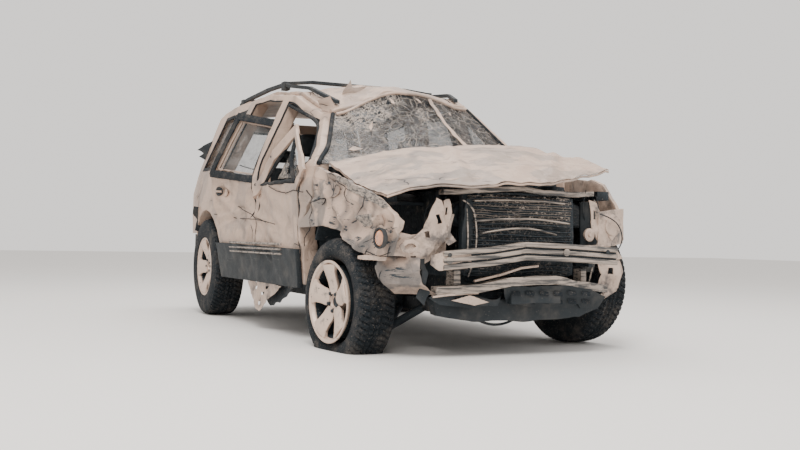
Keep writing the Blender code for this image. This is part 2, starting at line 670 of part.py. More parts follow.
def aprons():
    """Inner fenders: the frame rail, the wall above it, the wheel liner and the strut tower."""
    sides = {"right": (-1, FRONT_AXLE_Y, RAIL_NOSE_Y["right"], 27, 118), "left": (1, LEFT_FRONT_HUB[1], RAIL_NOSE_Y["left"], 31, 138)}
    for name, (side, axle_y, nose_y, liner_start, liner_end) in sides.items():
        def box(piece, x_range, y_range, z_range, side=side):
            low, high = sorted((side * x_range[0], side * x_range[1]))
            return block(piece, "dark_steel", (low, y_range[0], z_range[0]), (high, y_range[1], z_range[1]))

        ring = arc((axle_y, 0.38), LINER_RADIUS + 0.018, liner_start, liner_end, 9)
        ring += list(reversed(arc((axle_y, 0.38), LINER_RADIUS, liner_start, liner_end, 9)))
        low, high = sorted((side * 0.41, side * (0.80 if side < 0 else 0.75)))
        parts = [
            box("rail", (0.345, 0.425), (nose_y, -0.823), RAIL_Z),
            box("wall", APRON_WALL_X, (nose_y + 0.12, -0.823), (0.50, 0.86)),
            extruded("liner", "black_plastic", ring, "x", low, high),
            rod("tower", "dark_steel", (side * 0.565, axle_y, 0.846), (side * 0.565, axle_y, 0.93), 0.095, 0.08, 14),
            box("upper_rail", (0.64, 0.72), (nose_y + 0.14, -0.823), UPPER_RAIL_Z[name]),
            box("rail_web", (0.41, 0.70), (-0.90, -0.823), (0.70, 0.88)),
        ]
        joined("apron_" + name, "dark_steel", parts)


def engine():
    outline = [(-0.29, 0.33), (0.27, 0.33), (0.29, 0.62), (0.24, 0.86), (-0.26, 0.86), (-0.30, 0.60)]
    parts = [extruded("engine", "dark_steel", outline, "y", -1.66, -1.14)]
    joined("engine_block", "dark_steel", parts)


KINGPIN_LOW_X = 0.690      # lower ball joint, from the centre line
KINGPIN_LOW_Z = -0.1675    # from the wheel's centre
FRONT_WHEELS = {
    "right": (-1, (-WHEEL_X, FRONT_AXLE_Y, FLAT_HUB_Z)),
    "left": (1, (LEFT_FRONT_HUB[0], LEFT_FRONT_HUB[1], TYRE_RADIUS)),
}


def ball_joint(side, hub):
    return Vector((side * (abs(hub[0]) - 0.085), hub[1], hub[2] + KINGPIN_LOW_Z))


def kingpin_top(side, hub):
    return Vector((side * STRUT_TOP[0], hub[1], STRUT_TOP[1]))


def cradle():
    """The subframe under the engine, with the two lower arms reaching out to the ball joints."""
    parts = [
        block("side_r", "dark_steel", (-0.360, -1.700, 0.215), (-0.290, -1.080, 0.285)),
        block("side_l", "dark_steel", (0.290, -1.700, 0.215), (0.360, -1.080, 0.285)),
        block("front_beam", "dark_steel", (-0.370, -1.720, 0.218), (0.370, -1.640, 0.281)),
        block("rear_beam", "dark_steel", (-0.412, -1.160, 0.212), (0.412, -1.040, 0.322)),
        block("mount_r", "dark_steel", (-0.398, -1.150, 0.230), (-0.335, -1.060, RAIL_Z[0] - GAP)),
        block("mount_l", "dark_steel", (0.335, -1.150, 0.230), (0.398, -1.060, RAIL_Z[0] - GAP)),
        block("engine_mount_r", "dark_steel", (-0.310, -1.450, 0.232), (-0.200, -1.350, 0.33 - GAP)),
        block("engine_mount_l", "dark_steel", (0.200, -1.450, 0.232), (0.310, -1.350, 0.33 - GAP)),
    ]
    for side, hub in FRONT_WHEELS.values():
        joint = ball_joint(side, hub)
        inner_front = Vector((side * 0.32, hub[1] - 0.10, 0.25))
        inner_rear = Vector((side * 0.34, hub[1] + 0.20, 0.25))
        elbow = Vector((side * 0.53, hub[1], joint.z + 0.018))
        end = joint + Vector((-side * 0.012, 0, -0.003))
        parts.append(rod("arm_front", "dark_steel", inner_front, elbow, 0.022, sides=8))
        parts.append(rod("arm_rear", "dark_steel", inner_rear, elbow, 0.022, sides=8))
        parts.append(rod("arm_out", "dark_steel", elbow + (elbow - end) * 0.08, end, 0.020, 0.015, sides=8))
    joined("front_cradle", "dark_steel", parts)


def radiator():
    """The core and its condenser, bowed forwards in the middle."""
    path = [(-0.318, -1.800, 0.63), (-0.16, -1.825, 0.635), (0.0, -1.835, 0.64), (0.16, -1.825, 0.64), (0.31, -1.795, 0.635)]
    core = bar_along("core", "dark_steel", path, 0.028, 0.205)
    joined("radiator", "dark_steel", [
        core,
        block("lug_right", "dark_steel", (-0.3444, -1.797, 0.470), (-0.300, -1.775, 0.510)),
        block("lug_left", "dark_steel", (0.300, -1.780, 0.470), (0.3444, -1.735, 0.510)),
        block("peg_right", "dark_steel", (-0.170, -1.835, 0.830), (-0.150, -1.815, 0.8536)),
        block("peg_left", "dark_steel", (0.150, -1.830, 0.830), (0.170, -1.812, 0.8472)),
    ])


def front_end():
    top = [(-0.46, -1.80, 0.845), (-0.18, -1.835, 0.868), (-0.02, -1.85, 0.880), (0.12, -1.83, 0.862), (0.35, -1.80, 0.86), (0.52, -1.72, 0.87)]
    bar_along("upper_tie_bar", "paint", top, 0.028, 0.014)
    low = [(-0.529, -1.868, 0.345), (-0.30, -1.90, 0.362), (-0.12, -1.92, 0.395), (0.15, -1.91, 0.405), (0.28, -1.88, 0.380), (0.5853, -1.765, 0.350)]
    parts = [bar_along("lower_bar", "paint", low, 0.030, 0.022)]
    for side, name, front in ((-1, "right", -1.885), (1, "left", -1.825)):
        low, high = sorted((side * 0.385, side * 0.423))
        parts.append(block("drop", "paint", (low, front, 0.350), (high, RAIL_NOSE_Y[name] - GAP, 0.4596)))
    joined("lower_crossmember", "paint", parts)
    beam = [(-0.53, -1.955, 0.500), (-0.25, -1.965, 0.525), (-0.045, -1.935, 0.553), (0.25, -1.935, 0.545), (0.56, -1.895, 0.530)]
    bumper = bar_along("beam_bar", "bare_metal", beam, 0.028, 0.047)
    crush_cans = [
        block("can_r", "bare_metal", (-0.440, -1.945, 0.4604), (-0.380, RAIL_NOSE_Y["right"] - GAP, 0.532)),
        block("can_l", "bare_metal", (0.380, -1.915, 0.4704), (0.4245, RAIL_NOSE_Y["left"] - GAP, 0.533)),
    ]
    joined("bumper_beam", "bare_metal", [bumper, *crush_cans])
    for side, name, y, near, outer in ((-1, "right", -1.8434, 0.300, 0.372), (1, "left", -1.7673, 0.4253, 0.500)):
        rings = []
        for z, bow in ((0.44, -0.010), (0.55, 0.008), (0.70, 0.008), (0.83, -0.014)):
            far = side * (outer + bow)
            rings.append([(side * near, y, z), (far, y - 0.035, z), (far, y - 0.023, z), (side * near, y + 0.012, z)])
        swept("air_guide_" + name, "black_plastic", rings)


FENDER_RIGHT = [
    (-0.8286, 0.66), (-0.96, 0.665), (-1.16, 0.672), (-1.34, 0.640), (-1.48, 0.575), (-1.62, 0.535), (-1.80, 0.515),
    (-1.92, 0.52), (-1.98, 0.62), (-1.96, 0.72), (-1.84, 0.80), (-1.62, 0.875), (-1.36, 0.935), (-1.08, 0.985), (-0.975, 1.01), (-0.965, 0.80), (-0.8305, 0.70),
]
FENDER_LEFT = (
    [(-0.8286, 0.585)]
    + arc((LEFT_FRONT_HUB[1], 0.38), 0.455, 26, 152, 8)
    + [(-1.70, 0.62), (-1.68, 0.76), (-1.60, 0.85), (-1.46, 0.95), (-1.32, 0.99), (-0.98, 1.015), (-0.972, 0.82), (-0.842, 0.70), (-0.8286, 0.68)]
)


def fenders():
    side_panel("fender_right", "paint", -1, FENDER_RIGHT, wall=SKIN, out=0.004, step=0.24, warp=unmoved)
    side_panel("fender_left", "paint", 1, FENDER_LEFT, wall=SKIN, out=0.004, step=0.24, warp=pushed_fender)


# The hood after the crash: rows from the windshield to the nose, each with points from right to left
HOOD_NET = (
    ((-0.770, -1.010, 1.036), (-0.440, -1.060, 1.112), (-0.085, -1.060, 1.168), (0.260, -1.000, 1.195), (0.600, -0.830, 1.214)),
    ((-0.775, -1.230, 0.975), (-0.450, -1.300, 1.060), (-0.090, -1.330, 1.110), (0.270, -1.290, 1.135), (0.612, -1.150, 1.165)),
    ((-0.785, -1.520, 0.885), (-0.480, -1.600, 0.985), (-0.090, -1.640, 1.030), (0.290, -1.600, 1.060), (0.622, -1.470, 1.105)),
    ((-0.790, -1.870, 0.828), (-0.550, -1.930, 0.888), (-0.100, -1.990, 0.915), (0.300, -1.930, 0.965), (0.590, -1.790, 1.015)),
)
HOOD_HINGE = ((-0.770, -1.000, 1.030), (0.600, -0.820, 1.208))      # the hinge line's two ends


def hood():
    rows, columns = len(HOOD_NET), len(HOOD_NET[0])
    points = [(i, j) for j in range(rows) for i in range(columns)]
    faces = []
    for j in range(rows - 1):
        for i in range(columns - 1):
            a = j * columns + i
            faces.append((a, a + 1, a + 1 + columns, a + columns))
    walled(
        "hood", "paint", (points, faces),
        lambda i, j: Vector(HOOD_NET[j][i]),
        lambda i, j: Vector(HOOD_NET[j][i]) - Vector((0, 0, SKIN)),
    )


def corners():
    """What is left of the lamps and of the bumper cover's corners."""
    rod("headlamp_right", "lamp", (-0.8288, -1.915, 0.606), (-0.860, -1.9187, 0.606), 0.052, 0.046, 16)
    bracket = bar_along("bracket_bar", "bare_metal", [(-0.78, -1.85, 0.60), (-0.66, -1.87, 0.58), (-0.52, -1.835, 0.60), (-0.43, -1.785, 0.63)], 0.012, 0.045)
    bracket_foot = block("bracket_foot", "bare_metal", (-0.475, -1.799, 0.47), (-0.4256, -1.76, 0.64))
    joined("lamp_bracket_right", "bare_metal", [bracket, bracket_foot])
    left = [(0.5087, -1.797, 0.67), (0.58, -1.785, 0.68), (0.66, -1.74, 0.69), (0.75, -1.70, 0.70)]
    joined("lamp_bracket_left", "bare_metal", [
        bar_along("left_bar", "bare_metal", left, 0.012, 0.10),
        rod("left_bowl", "bare_metal", (0.60, -1.71, 0.70), (0.615, -1.80, 0.70), 0.07, 0.06, 12),
    ])
    for side, name, y, low in ((-1, "right", -1.83, 0.33), (1, "left", -1.70, 0.30)):
        rings = []
        top = 0.5146 if side < 0 else 0.505
        curl = 0.05 if side < 0 else 0.0       # the left one hangs straight, clear of the steered wheel
        for z, x_out, back in ((low, 0.70, curl), (low + 0.05, 0.80, 0.0), (0.44, 0.83, 0.0), (top, 0.82, 0.02)):
            if side < 0:
                near, far = side * (x_out - 0.17), side * x_out
                front = y - 0.11
            else:
                near, far = side * (x_out - 0.17), side * (x_out - 0.06)
                front = y - 0.07
            rings.append([(near, front + back, z), (far, y + back, z), (far, y + back + 0.014, z), (near, front + back + 0.014, z)])
        swept("bumper_corner_" + name, "paint", rings)


def undertray():
    """The torn plastic tray and air dam under the nose."""
    outline = [(-0.52, 0.30), (-0.50, 0.22), (-0.30, 0.19), (0.05, 0.185), (0.36, 0.20), (0.47, 0.27), (0.47, 0.30)]
    rings = []
    for y, shrink in ((-1.86, 1.0), (-1.74, 0.96)):
        rings.append([(x * shrink, y, z) for x, z in outline])
    tray = swept("undertray", "black_plastic", rings)
    hanger = block("tray_hanger", "black_plastic", (-0.10, -1.915, 0.28), (0.20, -1.83, 0.3732))
    joined("undertray", "black_plastic", [tray, hanger])


def underbody():
    """Rear axle, tank and exhaust, which show from below."""
    parts = [rod("beam", "dark_steel", (-0.7545, REAR_AXLE_Y, TYRE_RADIUS), (0.7545, REAR_AXLE_Y, TYRE_RADIUS), 0.030, sides=10)]
    for side in (-1, 1):
        x = side * 0.50
        parts.append(bar_between("arm", (x, 0.93, 0.33), (x, 1.33, 0.36), 0.022))
        parts.append(rod("spring", "dark_steel", (x, REAR_AXLE_Y, 0.37), (x, REAR_AXLE_Y, 0.4229), 0.05, sides=12))
        parts.append(block("arm_mount", "dark_steel", (x - 0.03, 0.935, 0.31), (x + 0.03, 0.980, 0.4196)))
        disc_x = sorted((side * 0.655, side * 0.70))
        parts.append(rod("drum", "dark_steel", (disc_x[0], REAR_AXLE_Y, TYRE_RADIUS), (disc_x[1], REAR_AXLE_Y, TYRE_RADIUS), 0.12, sides=16))
    joined("rear_axle", "dark_steel", parts)
    pipe = [(0.20, -1.02, 0.245), (0.22, -0.6, 0.235), (0.22, 0.75, 0.235), (0.20, 0.98, 0.225), (0.20, 1.50, 0.225), (0.20, 1.62, 0.30)]
    exhaust = [tube("pipe", "dark_steel", pipe, 0.024)]
    exhaust.append(block("muffler", "dark_steel", (-0.30, 1.60, 0.27), (0.34, 1.88, 0.4256)))
    exhaust.append(rod("tail_pipe", "dark_steel", (-0.25, 1.85, 0.33), (-0.27, 2.12, 0.325), 0.022, sides=10))
    joined("exhaust", "dark_steel", exhaust)


def bar_between(name, start, end, half):
    start, end = Vector(start), Vector(end)
    return rod(name, "dark_steel", start, end, half * 1.3, sides=6)


def tube(name, finish, points, radius):
    """A round pipe along straight runs."""
    curve = bpy.data.curves.new(name, "CURVE")
    curve.dimensions = "3D"
    curve.bevel_depth = radius
    curve.bevel_resolution = 1
    curve.use_fill_caps = True
    line = curve.splines.new("POLY")
    line.points.add(len(points) - 1)
    for spot, place in zip(line.points, points):
        spot.co = (*place, 1)
    helper = bpy.data.objects.new(name, curve)
    bpy.context.scene.collection.objects.link(helper)
    bpy.context.view_layer.update()
    mesh = bmesh.new()
    evaluated = helper.evaluated_get(bpy.context.evaluated_depsgraph_get())
    shape = evaluated.to_mesh()
    mesh.from_mesh(shape)
    evaluated.to_mesh_clear()
    bpy.data.objects.remove(helper)
    bmesh.ops.remove_doubles(mesh, verts=mesh.verts, dist=0.0001)
    return object_of(name, mesh, finish)


def seats():
    for side, name in ((-1, "right"), (1, "left")):
        x = side * 0.38
        cushion = block("cushion", "trim", (x - 0.24, -0.32, 0.3405), (x + 0.24, 0.17, 0.60))
        back = [(0.06, 0.56), (0.19, 0.54), (0.34, 1.12), (0.24, 1.15)]
        head = [(0.27, 1.09), (0.33, 1.09), (0.37, 1.32), (0.27, 1.33)]
        joined("seat_front_" + name, "trim", [
            cushion,
            extruded("back", "trim", back, "x", x - 0.23, x + 0.23),
            extruded("head", "trim", head, "x", x - 0.12, x + 0.12),
        ])
    bench = [(0.52, 0.3405), (0.70, 0.3405), (0.88, 0.4855), (1.06, 0.4855), (1.19, 1.16), (1.07, 1.18), (0.96, 0.66), (0.50, 0.66)]
    extruded("seat_rear", "trim", bench, "x", -0.57, 0.57)


def dashboard():
    profile = [(-0.7845, 0.60), (-0.7845, 0.985), (-0.70, 1.02), (-0.56, 0.97), (-0.52, 0.78), (-0.60, 0.62)]
    dash = extruded("dash", "trim", profile, "x", -0.735, 0.735)
    column = rod("column", "trim", (0.38, -0.58, 0.84), (0.38, -0.385, 0.915), 0.025, sides=10)
    wheel = turned("wheel", "trim", [(-0.012, 0.175), (0.0, 0.187), (0.012, 0.175), (0.0, 0.163)], 20)
    tilt = Matrix.Translation((0.38, -0.38, 0.917)) @ Matrix.Rotation(math.radians(-69), 4, "X") @ Matrix.Rotation(math.radians(90), 4, "Y")
    wheel.data.transform(tilt)
    spokes = []
    for angle in (90, 210, 330):
        a = math.radians(angle)
        tip = tilt @ Vector((0, 0.175 * math.sin(a), 0.175 * math.cos(a)))
        spokes.append(rod("spoke", "trim", (0.38, -0.38, 0.917), tip, 0.011, sides=6))
    joined("dashboard", "trim", [dash, column, *spokes, wheel])


TYRE_PROFILE = [
    (-TREAD_HALF_WIDTH, BEAD_RADIUS), (-TREAD_HALF_WIDTH, FLANGE_RADIUS + GAP), (-0.112, 0.227), (-TYRE_HALF_WIDTH, 0.288),
    (-0.104, 0.350), (-0.078, 0.3645), (-0.045, TYRE_RADIUS), (0.045, TYRE_RADIUS), (0.078, 0.3645), (0.104, 0.350),
    (TYRE_HALF_WIDTH, 0.288),
    (0.112, 0.227), (TREAD_HALF_WIDTH, FLANGE_RADIUS + GAP), (TREAD_HALF_WIDTH, BEAD_RADIUS),
]
RIM_PROFILE = [
    (-0.108, 0.206), (-0.108, FLANGE_RADIUS), (-FLANGE_X, FLANGE_RADIUS), (-FLANGE_X, BEAD_RADIUS - GAP), (FLANGE_X, BEAD_RADIUS - GAP),
    (FLANGE_X, FLANGE_RADIUS), (0.108, FLANGE_RADIUS), (0.108, 0.206), (0.085, 0.196), (-0.085, 0.196),
]


def rim(name, place):
    """A cast wheel: barrel, five spokes, hub and the brake disc's hat behind it. +X is its outer side."""
    parts = [turned(name, "alloy", RIM_PROFILE, 32)]
    parts.append(rod("hub", "alloy", (-0.020, 0, 0), (0.074, 0, 0), 0.062, 0.055, sides=20))
    for k in range(5):
        a = 2 * math.pi * k / 5
        spoke = []
        for r, half, x_in, x_out in ((0.030, 0.030, 0.035, 0.074), (0.12, 0.031, 0.050, 0.086), (0.203, 0.045, 0.060, 0.100)):
            spoke.append([(x_in, -half, r), (x_out, -half, r), (x_out, half, r), (x_in, half, r)])
        arm = swept("spoke", "alloy", spoke)
        arm.data.transform(Matrix.Rotation(a, 4, "X"))
        parts.append(arm)
    whole = joined(name, "alloy", parts)
    for part in parts:
        part.data.transform(place)
    return whole


def wheel_place(side, hub, steer=0.0):
    """Puts a wheel made about the origin, outer face to +X, on its hub."""
    turn = Matrix.Rotation(math.radians(steer), 4, "Z")
    if side < 0:
        turn = turn @ Matrix.Rotation(math.pi, 4, "Z")
    return Matrix.Translation(hub) @ turn


def flat_tyre(place):
    """The burst front right tyre: off its outer bead, shifted inwards and squashed on the ground."""
    profile = [
        (-TREAD_HALF_WIDTH, BEAD_RADIUS + 0.006), (-TREAD_HALF_WIDTH, 0.2290), (-0.112, 0.234), (-0.124, 0.270),
        (-0.120, 0.318), (-0.100, 0.340), (-0.030, FLAT_TYRE_RADIUS), (0.045, 0.342), (0.078, 0.328), (0.092, 0.290),
        (0.086, 0.250), (0.070, 0.234), (0.052, 0.218),
    ]
    tyre = turned("tyre_front_right", "rubber", profile, 32)
    tyre.data.transform(place)
    for vertex in tyre.data.vertices:
        low = -vertex.co.z
        if low > 0:
            vertex.co.z = 0.0
    return tyre


def wheels():
    rear = {"right": (-1, (-WHEEL_X, REAR_AXLE_Y, TYRE_RADIUS), 0.0), "left": (1, (WHEEL_X, REAR_AXLE_Y, TYRE_RADIUS), 0.0)}
    for name, (side, hub, steer) in rear.items():
        place = wheel_place(side, hub, steer)
        rim("rim_rear_" + name, place)
        turned("tyre_rear_" + name, "rubber", TYRE_PROFILE, 32).data.transform(place)
    for name, (side, hub) in FRONT_WHEELS.items():
        place = wheel_place(side, hub, STEER_AT_REST)
        rim("rim_front_" + name, place)
        if name == "left":
            turned("tyre_front_left", "rubber", TYRE_PROFILE, 32).data.transform(place)
        else:
            flat_tyre(place)


def knuckles():
    """Each upright: ball joint, spindle and the strut up to its tower, all on the kingpin line."""
    for name, (side, hub) in FRONT_WHEELS.items():
        low, high = ball_joint(side, hub), kingpin_top(side, hub)
        along = (high - low).normalized()
        strut = low + along * ((hub[2] + 0.12 - low.z) / along.z)
        turn = Matrix.Rotation(math.radians(STEER_AT_REST), 3, "Z")
        spindle = [Vector(hub) + turn @ Vector((-side * reach, 0, 0)) for reach in (0.116, 0.0204)]
        parts = [
            rod("upright", "dark_steel", low + along * 0.0170, strut, 0.018, sides=10),
            rod("strut", "dark_steel", strut - along * 0.03, high - along * 0.0015, 0.021, sides=12),
            rod("spindle", "dark_steel", spindle[0], spindle[1], 0.028, sides=12),
        ]
        joined("knuckle_" + name, "dark_steel", parts)


body_sides()
doors()
sill_cladding()
roof()
roof_rack()
windshield()
tailgate()
rear_bumper()
floor()
firewall()
aprons()
engine()
cradle()
radiator()
front_end()
fenders()
hood()
corners()
undertray()
underbody()
seats()
dashboard()
wheels()
knuckles()

for thing in bpy.data.objects:
    thing.data.transform(Matrix.Translation((-CENTRE[0], -CENTRE[1], 0)))
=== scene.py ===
"""The look of the crashed sport utility vehicle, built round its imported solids.

Places are measured from the middle of the wheelbase on the ground, in metres: the front faces -Y
and the car's right side is at -X. settle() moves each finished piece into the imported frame.
"""

import json
import math

import bpy
from mathutils import Matrix, Vector, noise
from mathutils.geometry import delaunay_2d_cdt


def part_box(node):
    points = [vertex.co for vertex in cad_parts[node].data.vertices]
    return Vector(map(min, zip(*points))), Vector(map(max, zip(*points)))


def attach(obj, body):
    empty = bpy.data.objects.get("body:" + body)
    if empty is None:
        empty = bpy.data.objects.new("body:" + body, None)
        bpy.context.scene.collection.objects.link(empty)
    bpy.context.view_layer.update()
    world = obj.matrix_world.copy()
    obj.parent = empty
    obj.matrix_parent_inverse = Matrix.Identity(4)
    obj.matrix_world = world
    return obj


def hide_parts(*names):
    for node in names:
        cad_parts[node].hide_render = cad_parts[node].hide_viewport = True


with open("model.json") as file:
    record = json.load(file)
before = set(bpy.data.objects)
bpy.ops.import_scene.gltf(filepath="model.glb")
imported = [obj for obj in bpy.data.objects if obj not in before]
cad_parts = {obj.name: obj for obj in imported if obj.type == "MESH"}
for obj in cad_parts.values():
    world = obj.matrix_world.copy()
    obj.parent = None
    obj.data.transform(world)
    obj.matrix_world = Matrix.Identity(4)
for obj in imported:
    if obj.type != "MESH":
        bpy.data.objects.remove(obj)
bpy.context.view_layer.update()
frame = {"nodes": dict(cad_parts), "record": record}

NODES = frame["nodes"]
FROM_WHEELBASE = Vector((0.0271, -0.0643, 0.0))

# The photograph's camera, from the same origin
EYE = Vector((-2.847, -6.423, 0.602))
YAW, PITCH, ROLL = (math.radians(a) for a in (25.05, 0.80, 1.04))
LENS, SENSOR = 45.97, 36.0
PHOTO = (800, 450)


def camera_axes():
    """The camera's right, up and backward directions, as a matrix's columns."""
    ahead = Vector((math.sin(YAW) * math.cos(PITCH), math.cos(YAW) * math.cos(PITCH), math.sin(PITCH)))
    level = Vector((math.cos(YAW), -math.sin(YAW), 0))
    above = level.cross(ahead)
    right = math.cos(ROLL) * level + math.sin(ROLL) * above
    up = math.cos(ROLL) * above - math.sin(ROLL) * level
    return Matrix((right, up, -ahead)).transposed()


AXES = camera_axes()


def ray_of(px, py):
    """The direction in which the photograph's camera sees a pixel."""
    across = (px - PHOTO[0] / 2) / PHOTO[0] * SENSOR / LENS
    up = (PHOTO[1] / 2 - py) / PHOTO[0] * SENSOR / LENS
    return AXES @ Vector((across, up, -1))


def spot(px, py, y):
    """The point at depth y that the photograph shows at a pixel."""
    ray = ray_of(px, py)
    return EYE + ray * ((y - EYE.y) / ray.y)


def spots(pixels, y):
    return [spot(px, py, y) for px, py in pixels]


# Shader maths

class Number:
    """A socket that carries a number. Sums on it add their Math nodes."""

    def __init__(self, finish, socket):
        self.finish, self.socket = finish, socket

    def math(self, operation, *values):
        found = self.finish.add("ShaderNodeMath", {"operation": operation}, dict(enumerate(values)))
        return Number(self.finish, found.outputs[0])

    def __add__(self, other):
        return self.math("ADD", self, other)

    def __sub__(self, other):
        return self.math("SUBTRACT", self, other)

    def __rsub__(self, other):
        return self.math("SUBTRACT", other, self)

    def __mul__(self, other):
        return self.math("MULTIPLY", self, other)

    def highest(self, other):
        return self.math("MAXIMUM", self, other)

    def step(self, low, high, smooth=True):
        """0 at low, 1 at high, clamped."""
        found = self.finish.add(
            "ShaderNodeMapRange", {"interpolation_type": "SMOOTHSTEP" if smooth else "LINEAR"},
            {"Value": self, "From Min": low, "From Max": high},
        )
        return Number(self.finish, found.outputs["Result"])

    __radd__ = __add__
    __rmul__ = __mul__


class Finish:
    """A material, with the record's slot that it belongs to kept beside it."""

    def __init__(self, name, slot, fixed=None):
        self.slot = slot
        self.material = bpy.data.materials.new(name)
        self.material.use_nodes = True
        self.tree = self.material.node_tree
        self.shader = self.tree.nodes["Principled BSDF"]
        for socket, value in (fixed or {}).items():
            self.shader.inputs[socket].default_value = value
        self.place = self.add("ShaderNodeTexCoord").outputs["Object"]

    def add(self, kind, settings=None, inputs=None):
        node = self.tree.nodes.new(kind)
        for setting, value in (settings or {}).items():
            setattr(node, setting, value)
        for socket, value in (inputs or {}).items():
            self.feed(node.inputs[socket], value)
        return node

    def feed(self, socket, value):
        if isinstance(value, Number):
            value = value.socket
        if isinstance(value, bpy.types.NodeSocket):
            self.tree.links.new(value, socket)
        elif socket.type == "RGBA":
            socket.default_value = (*value, 1)
        else:
            socket.default_value = value

    def stretched(self, scale, turn=(0, 0, 0)):
        return self.add(
            "ShaderNodeMapping", {}, {"Vector": self.place, "Scale": scale, "Rotation": turn},
        ).outputs[0]

    def noise(self, scale, detail=4, rough=0.55, where=None, twist=0.0):
        found = self.add("ShaderNodeTexNoise", {}, {
            "Vector": where or self.place, "Scale": scale, "Detail": detail, "Roughness": rough,
            "Distortion": twist,
        })
        return Number(self, found.outputs["Fac"])

    def streaks(self, detail, rough, scale, turn=(0, 0, 0)):
        """Noise drawn out by an uneven scale."""
        return self.noise(1.0, detail, rough, self.stretched(scale, turn))

    def cells(self, scale, feature="DISTANCE_TO_EDGE", where=None):
        found = self.add(
            "ShaderNodeTexVoronoi", {"feature": feature}, {"Vector": where or self.place, "Scale": scale},
        )
        return Number(self, found.outputs["Distance"])

    def height(self):
        parts = self.add("ShaderNodeSeparateXYZ", {}, {"Vector": self.place})
        return Number(self, parts.outputs["Z"])

    def mix(self, share, a, b):
        """The colour between a and b, by a Mix node's sockets for colours."""
        return self.add("ShaderNodeMix", {"data_type": "RGBA"}, {0: share, 6: a, 7: b}).outputs[2]

    def set(self, **sockets):
        for socket, value in sockets.items():
            self.feed(self.shader.inputs[socket.replace("_", " ")], value)

    def relief(self, bumps):
        """Chained bumps: each is a height and how deep it is, in metres."""
        normal = None
        for height, depth in bumps:
            inputs = {"Height": height, "Distance": depth, "Strength": 1.0}
            if normal is not None:
                inputs["Normal"] = normal
            normal = self.add("ShaderNodeBump", {}, inputs).outputs[0]
        self.set(Normal=normal)


# Colours
# The second colour is for wear and also for painted shading and reflections on the panels; the third is the
# dark primer and also the colour of painted shade in the paint and the torn metal.
CREAM, WORN_AND_SHADED_CREAM, PRIMER_AND_SHADE = (0.48, 0.35, 0.275), (0.235, 0.195, 0.170), (0.026, 0.036, 0.044)
TORN_CREAM = (0.50, 0.385, 0.315)
DARK_STEEL, STEEL_DUST = (0.017, 0.025, 0.032), (0.30, 0.26, 0.22)
DARK_PLASTIC, PLASTIC_DUST = (0.011, 0.016, 0.020), (0.17, 0.15, 0.13)
DARK_RUBBER, RUBBER_DUST = (0.009, 0.013, 0.017), (0.36, 0.30, 0.25)
PALE_ALLOY, ALLOY_GRIME = (0.58, 0.45, 0.37), (0.060, 0.075, 0.078)
GLASS_TINT, GLASS_DUST = (0.06, 0.08, 0.09), (0.45, 0.42, 0.39)
DARK_PANE, CRAZE = (0.007, 0.012, 0.017), (0.36, 0.305, 0.26)
DARK_CLOTH, CLOTH_DUST = (0.022, 0.030, 0.037), (0.075, 0.082, 0.086)
AMBER_TONE, RED_TONE, LENS_GRIME = (0.55, 0.25, 0.13), (0.20, 0.05, 0.045), (0.10, 0.085, 0.080)
# The fins' pale colour is dust and also their painted highlight.
DARK_FINS, FIN_DUST_AND_HIGHLIGHT = (0.013, 0.020, 0.026), (0.55, 0.46, 0.39)
RUBBED_STEEL, STEEL_GRIME = (0.36, 0.30, 0.255), (0.020, 0.028, 0.034)
FLOOR_LOW, FLOOR_HIGH = (0.755, 0.740, 0.722), (0.775, 0.760, 0.742)


def warped(finish, scale, amount):
    """Object coordinates pushed about by noise."""
    found = finish.add("ShaderNodeTexNoise", {}, {"Vector": finish.place, "Scale": scale, "Detail": 3})
    moved = finish.add(
        "ShaderNodeVectorMath", {"operation": "MULTIPLY_ADD"},
        {0: found.outputs["Color"], 1: (amount, amount, amount), 2: finish.place},
    )
    return moved.outputs[0]


